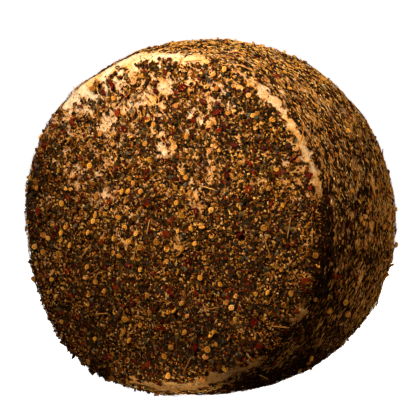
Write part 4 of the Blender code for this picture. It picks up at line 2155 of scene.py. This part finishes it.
@dataclass
class LooseBits:
    """Husks, seeds and leaf crumbs that stand out from the coating where the outline shows them."""

    width: tuple[float, float] = (0.35, 1.0)
    thickness: tuple[float, float] = (0.25, 0.6)
    tilt: tuple[float, float] = (20, 85)
    lie: float = 0.55 * MM
    scatter: float = 2.2
    smallness: float = 2.2
    columns: int = 7
    seed: int = 24
    rise: float = 0.35
    shade: tuple[float, float] = (0.5, 0.8)
    least: float = 0.45
    uneven: tuple[float, float] = (0.8, 1.15)
    map_cell: tuple[float, float] = (0.03, 0.12)
    finish: CrumbFinish = CrumbFinish(
        "loose_bit", rgb(38, 20, 5), rgb(150, 88, 24), rgb(240, 190, 104), 0.4, 0.7, 0.1, 0.4
    )
    profile: tuple[tuple[float, float], ...] = (
        (0.0, -1.0), (0.7, -0.7), (1.0, 0.0), (0.8, 0.6), (0.4, 0.8), (0.0, 0.9),
    )

    def _rows(self, draw: np.random.Generator) -> np.ndarray:
        """The single bits, and those drawn along the ragged stretches, small ones most often.

        Args:
            draw: source of random numbers.

        Returns:
            Rows of angle, reach, length and tone.
        """
        rows = [(bit.angle, bit.out, bit.length, bit.tone) for bit in LOOSE_BITS]
        for stretch in RAGGED_STRETCHES:
            share = draw.random(stretch.count)
            reach = np.interp(share, (0, 1), stretch.reach)
            drawn = np.stack(
                [
                    np.interp(share, (0, 1), stretch.angle),
                    reach + draw.normal(0, self.scatter, stretch.count),
                    np.interp(draw.random(stretch.count) ** self.smallness, (0, 1), stretch.length),
                    draw.uniform(*stretch.tone, stretch.count),
                ],
                axis=1,
            )
            rows.extend(drawn)
        return np.array(rows)

    def build(self, surface: BallSurface, shared: Finishes) -> bpy.types.Object:
        """Stands each bit in the coating, tipped up, with a torn outline.

        Args:
            surface: the ball's outside.
            shared: the shared node groups.

        Returns:
            The piece.
        """
        draw = np.random.default_rng(self.seed)
        table = self._rows(draw)
        count = len(table)
        path = surface.rim_path + table[:, 1] * MM
        points, normals = surface.spots(path, np.radians(table[:, 0]))
        half = table[:, 2] * MM / 2
        width, thickness = draw.uniform(*self.width, count), draw.uniform(*self.thickness, count)
        spin, lean = draw.uniform(0, 2 * math.pi, (2, count))
        tilt = np.radians(draw.uniform(*self.tilt, count))
        axes = sized(frames_on(normals, spin, tilt, lean), half, half * width, half * thickness)
        lift = surface.relief(points) + self.lie + self.rise * half * np.sin(tilt)
        colour = map_places(table[:, 3], draw.uniform(*self.shade, count))
        template = Template.turned(self.profile, self.columns)
        torn = torn_outline(draw, count, template, self.columns, self.least)
        torn = torn * draw.uniform(*self.uneven, torn.shape)
        placement = Placement(points + normals * lift[:, None], axes, colour)
        mesh = repeat_shape("loose_bits", template, placement, torn, self.map_cell)
        return show("loose_bits", mesh, self.finish.material(shared), True)


@dataclass(frozen=True)
class Lamp:
    """A square soft light: its place from the ball's middle, its side, power, tint and beam.

    The aim is measured from the ball's middle too, and the spread is the beam's angle in degrees.
    """

    name: str
    place: tuple[float, float, float]
    size: float
    power: float
    tint: Colour
    aim: tuple[float, float, float] = (0.0, 0.0, 0.0)
    spread: float = 180.0


@dataclass(frozen=True)
class Studio:
    """Camera, soft lights and a plain pale floor that curves up behind."""

    azimuth: float = 30.95
    elevation: float = 3.7
    roll: float = 1.8
    distance: float = 1.0
    lens: float = 157.58
    sensor: float = 36.0
    shift_x: float = 0.0072
    shift_y: float = 0.0216
    floor_front: float = -3.0
    floor_depth: float = 2.4
    floor_curve: float = 0.8
    curve_steps: int = 13
    floor_grey: Colour = (0.14, 0.14, 0.14, 1.0)
    floor_pale: Colour = (0.8, 0.8, 0.8, 1.0)
    floor_roughness: float = 0.9
    floor_gloss: float = 0.1
    floor_width: float = 6.0
    wall_height: float = 2.6
    ambient: float = 0.03
    ambient_tint: Colour = rgb(255, 216, 170)
    lamps: tuple[Lamp, ...] = (
        Lamp(
            "key", (-0.05, -0.33, 0.31), 0.15, 0.30, rgb(255, 243, 222), (0.012, -0.046, 0.074), 47
        ),
        Lamp(
            "low", (0.04, -0.60, -0.07), 0.03, 0.062, rgb(255, 236, 204),
            (0.008, -0.046, -0.131), 11,
        ),
        Lamp("top", (0.05, 0.24, 0.70), 0.36, 1.18, rgb(255, 240, 216)),
        Lamp("side", (0.80, 0.14, 0.30), 0.22, 2.8, rgb(255, 230, 194)),
        Lamp("back", (-0.25, 0.85, 0.04), 0.30, 4.5, rgb(255, 238, 212)),
    )

    def camera(self, middle: Vector) -> None:
        """Places the camera at the photograph's angle.

        Args:
            middle: the ball's middle.
        """
        azimuth, elevation = math.radians(self.azimuth), math.radians(self.elevation)
        back = Vector(
            (
                math.sin(azimuth) * math.cos(elevation),
                -math.cos(azimuth) * math.cos(elevation),
                math.sin(elevation),
            )
        )
        data = bpy.data.cameras.new("camera")
        data.lens = self.lens
        data.sensor_width = self.sensor
        data.shift_x, data.shift_y = self.shift_x, self.shift_y
        camera = bpy.data.objects.new("camera", data)
        bpy.context.scene.collection.objects.link(camera)
        camera.location = middle + back * self.distance
        turn = (-back).to_track_quat("-Z", "Y").to_matrix() @ Matrix.Rotation(
            math.radians(self.roll), 3, "Z"
        )
        camera.rotation_euler = turn.to_euler()
        bpy.context.scene.camera = camera

    @staticmethod
    def light(lamp: Lamp, middle: Vector) -> None:
        """Hangs a square soft light.

        Args:
            lamp: the light.
            middle: the ball's middle.
        """
        data = bpy.data.lights.new(lamp.name, "AREA")
        data.size, data.energy, data.color = lamp.size, lamp.power, lamp.tint[:3]
        light = bpy.data.objects.new(lamp.name, data)
        bpy.context.scene.collection.objects.link(light)
        data.spread = math.radians(lamp.spread)
        place, aim = Vector(lamp.place), Vector(lamp.aim)
        light.location = middle + place
        light.rotation_euler = (aim - place).to_track_quat("-Z", "Y").to_euler()

    def floor(self) -> None:
        """A pale sheet that runs back and curves up; it gives little light back to the ball."""
        bend, curve = np.linspace(0, math.pi / 2, self.curve_steps), self.floor_curve
        y = np.concatenate([[self.floor_front], self.floor_depth - curve + curve * np.sin(bend)])
        z = np.concatenate([[0.0], curve - curve * np.cos(bend)])
        y, z = np.append(y, self.floor_depth), np.append(z, self.wall_height)
        rows = len(y)
        x = np.repeat([-self.floor_width / 2, self.floor_width / 2], rows)
        points = np.stack([x, np.tile(y, 2), np.tile(z, 2)], axis=1)
        low = np.arange(rows - 1)
        faces = np.stack([low, rows + low, rows + low + 1, low + 1], axis=1)
        mesh = build_mesh("floor", points, faces.ravel(), np.full(len(faces), 4))
        material, graph, shader = Finishes.start("floor")
        seen = graph.add("ShaderNodeLightPath").outputs["Is Camera Ray"]
        pale = graph.blend(seen, self.floor_grey, self.floor_pale)
        graph.feed(shader, "Base Color", pale)
        graph.feed(shader, "Roughness", self.floor_roughness)
        graph.feed(shader, "Specular IOR Level", self.floor_gloss)
        graph.feed(shader, "Emission Color", (1, 1, 1, 1))
        graph.feed(shader, "Emission Strength", seen)
        mesh.materials.append(material)
        floor = bpy.data.objects.new("floor", mesh)
        bpy.context.scene.collection.objects.link(floor)

    def build(self, middle: Vector) -> None:
        """Sets up the camera, lights, surroundings and floor.

        Args:
            middle: the ball's middle.
        """
        self.camera(middle)
        for lamp in self.lamps:
            self.light(lamp, middle)
        world = bpy.data.worlds.new("surroundings")
        world.use_nodes = True
        background = world.node_tree.nodes["Background"]
        graph = Graph(world.node_tree)
        seen = graph.add("ShaderNodeLightPath").outputs["Is Camera Ray"]
        graph.feed(background, "Color", graph.blend(seen, self.ambient_tint, (1, 1, 1, 1)))
        graph.feed(background, "Strength", graph.span(seen, 0.0, 1.0, self.ambient, 1.0))
        bpy.context.scene.world = world
        bpy.context.scene.view_settings.view_transform = "Standard"
        self.floor()


def main() -> None:
    """Builds the part's looks in order."""
    logging.basicConfig(level=logging.INFO)
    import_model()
    surface = BallSurface(BallForm())
    wear = Wear(surface)
    shared = Finishes()
    CheeseBody(surface, wear).build(shared)
    for number, kind in enumerate(CRUMBS):
        CrumbLayer(kind, surface, wear, FIRST_CRUMB_SEED + number).build(shared)
    kinds = SharedDraw(surface.form).all_kinds()
    stems, chips, seeds = (clear_of_rim(toppings, wear) for toppings in kinds)
    LOG.info("%d stems, %d chips, %d seeds", len(stems), len(chips), len(seeds))
    DryStems(stems).build(surface, shared)
    ChilliChips(chips).build(surface, shared)
    ChilliSeeds(seeds).build(surface, shared)
    LooseBits().build(surface, shared)
    Studio().build(surface.middle)


if __name__ == "__main__":
    main()
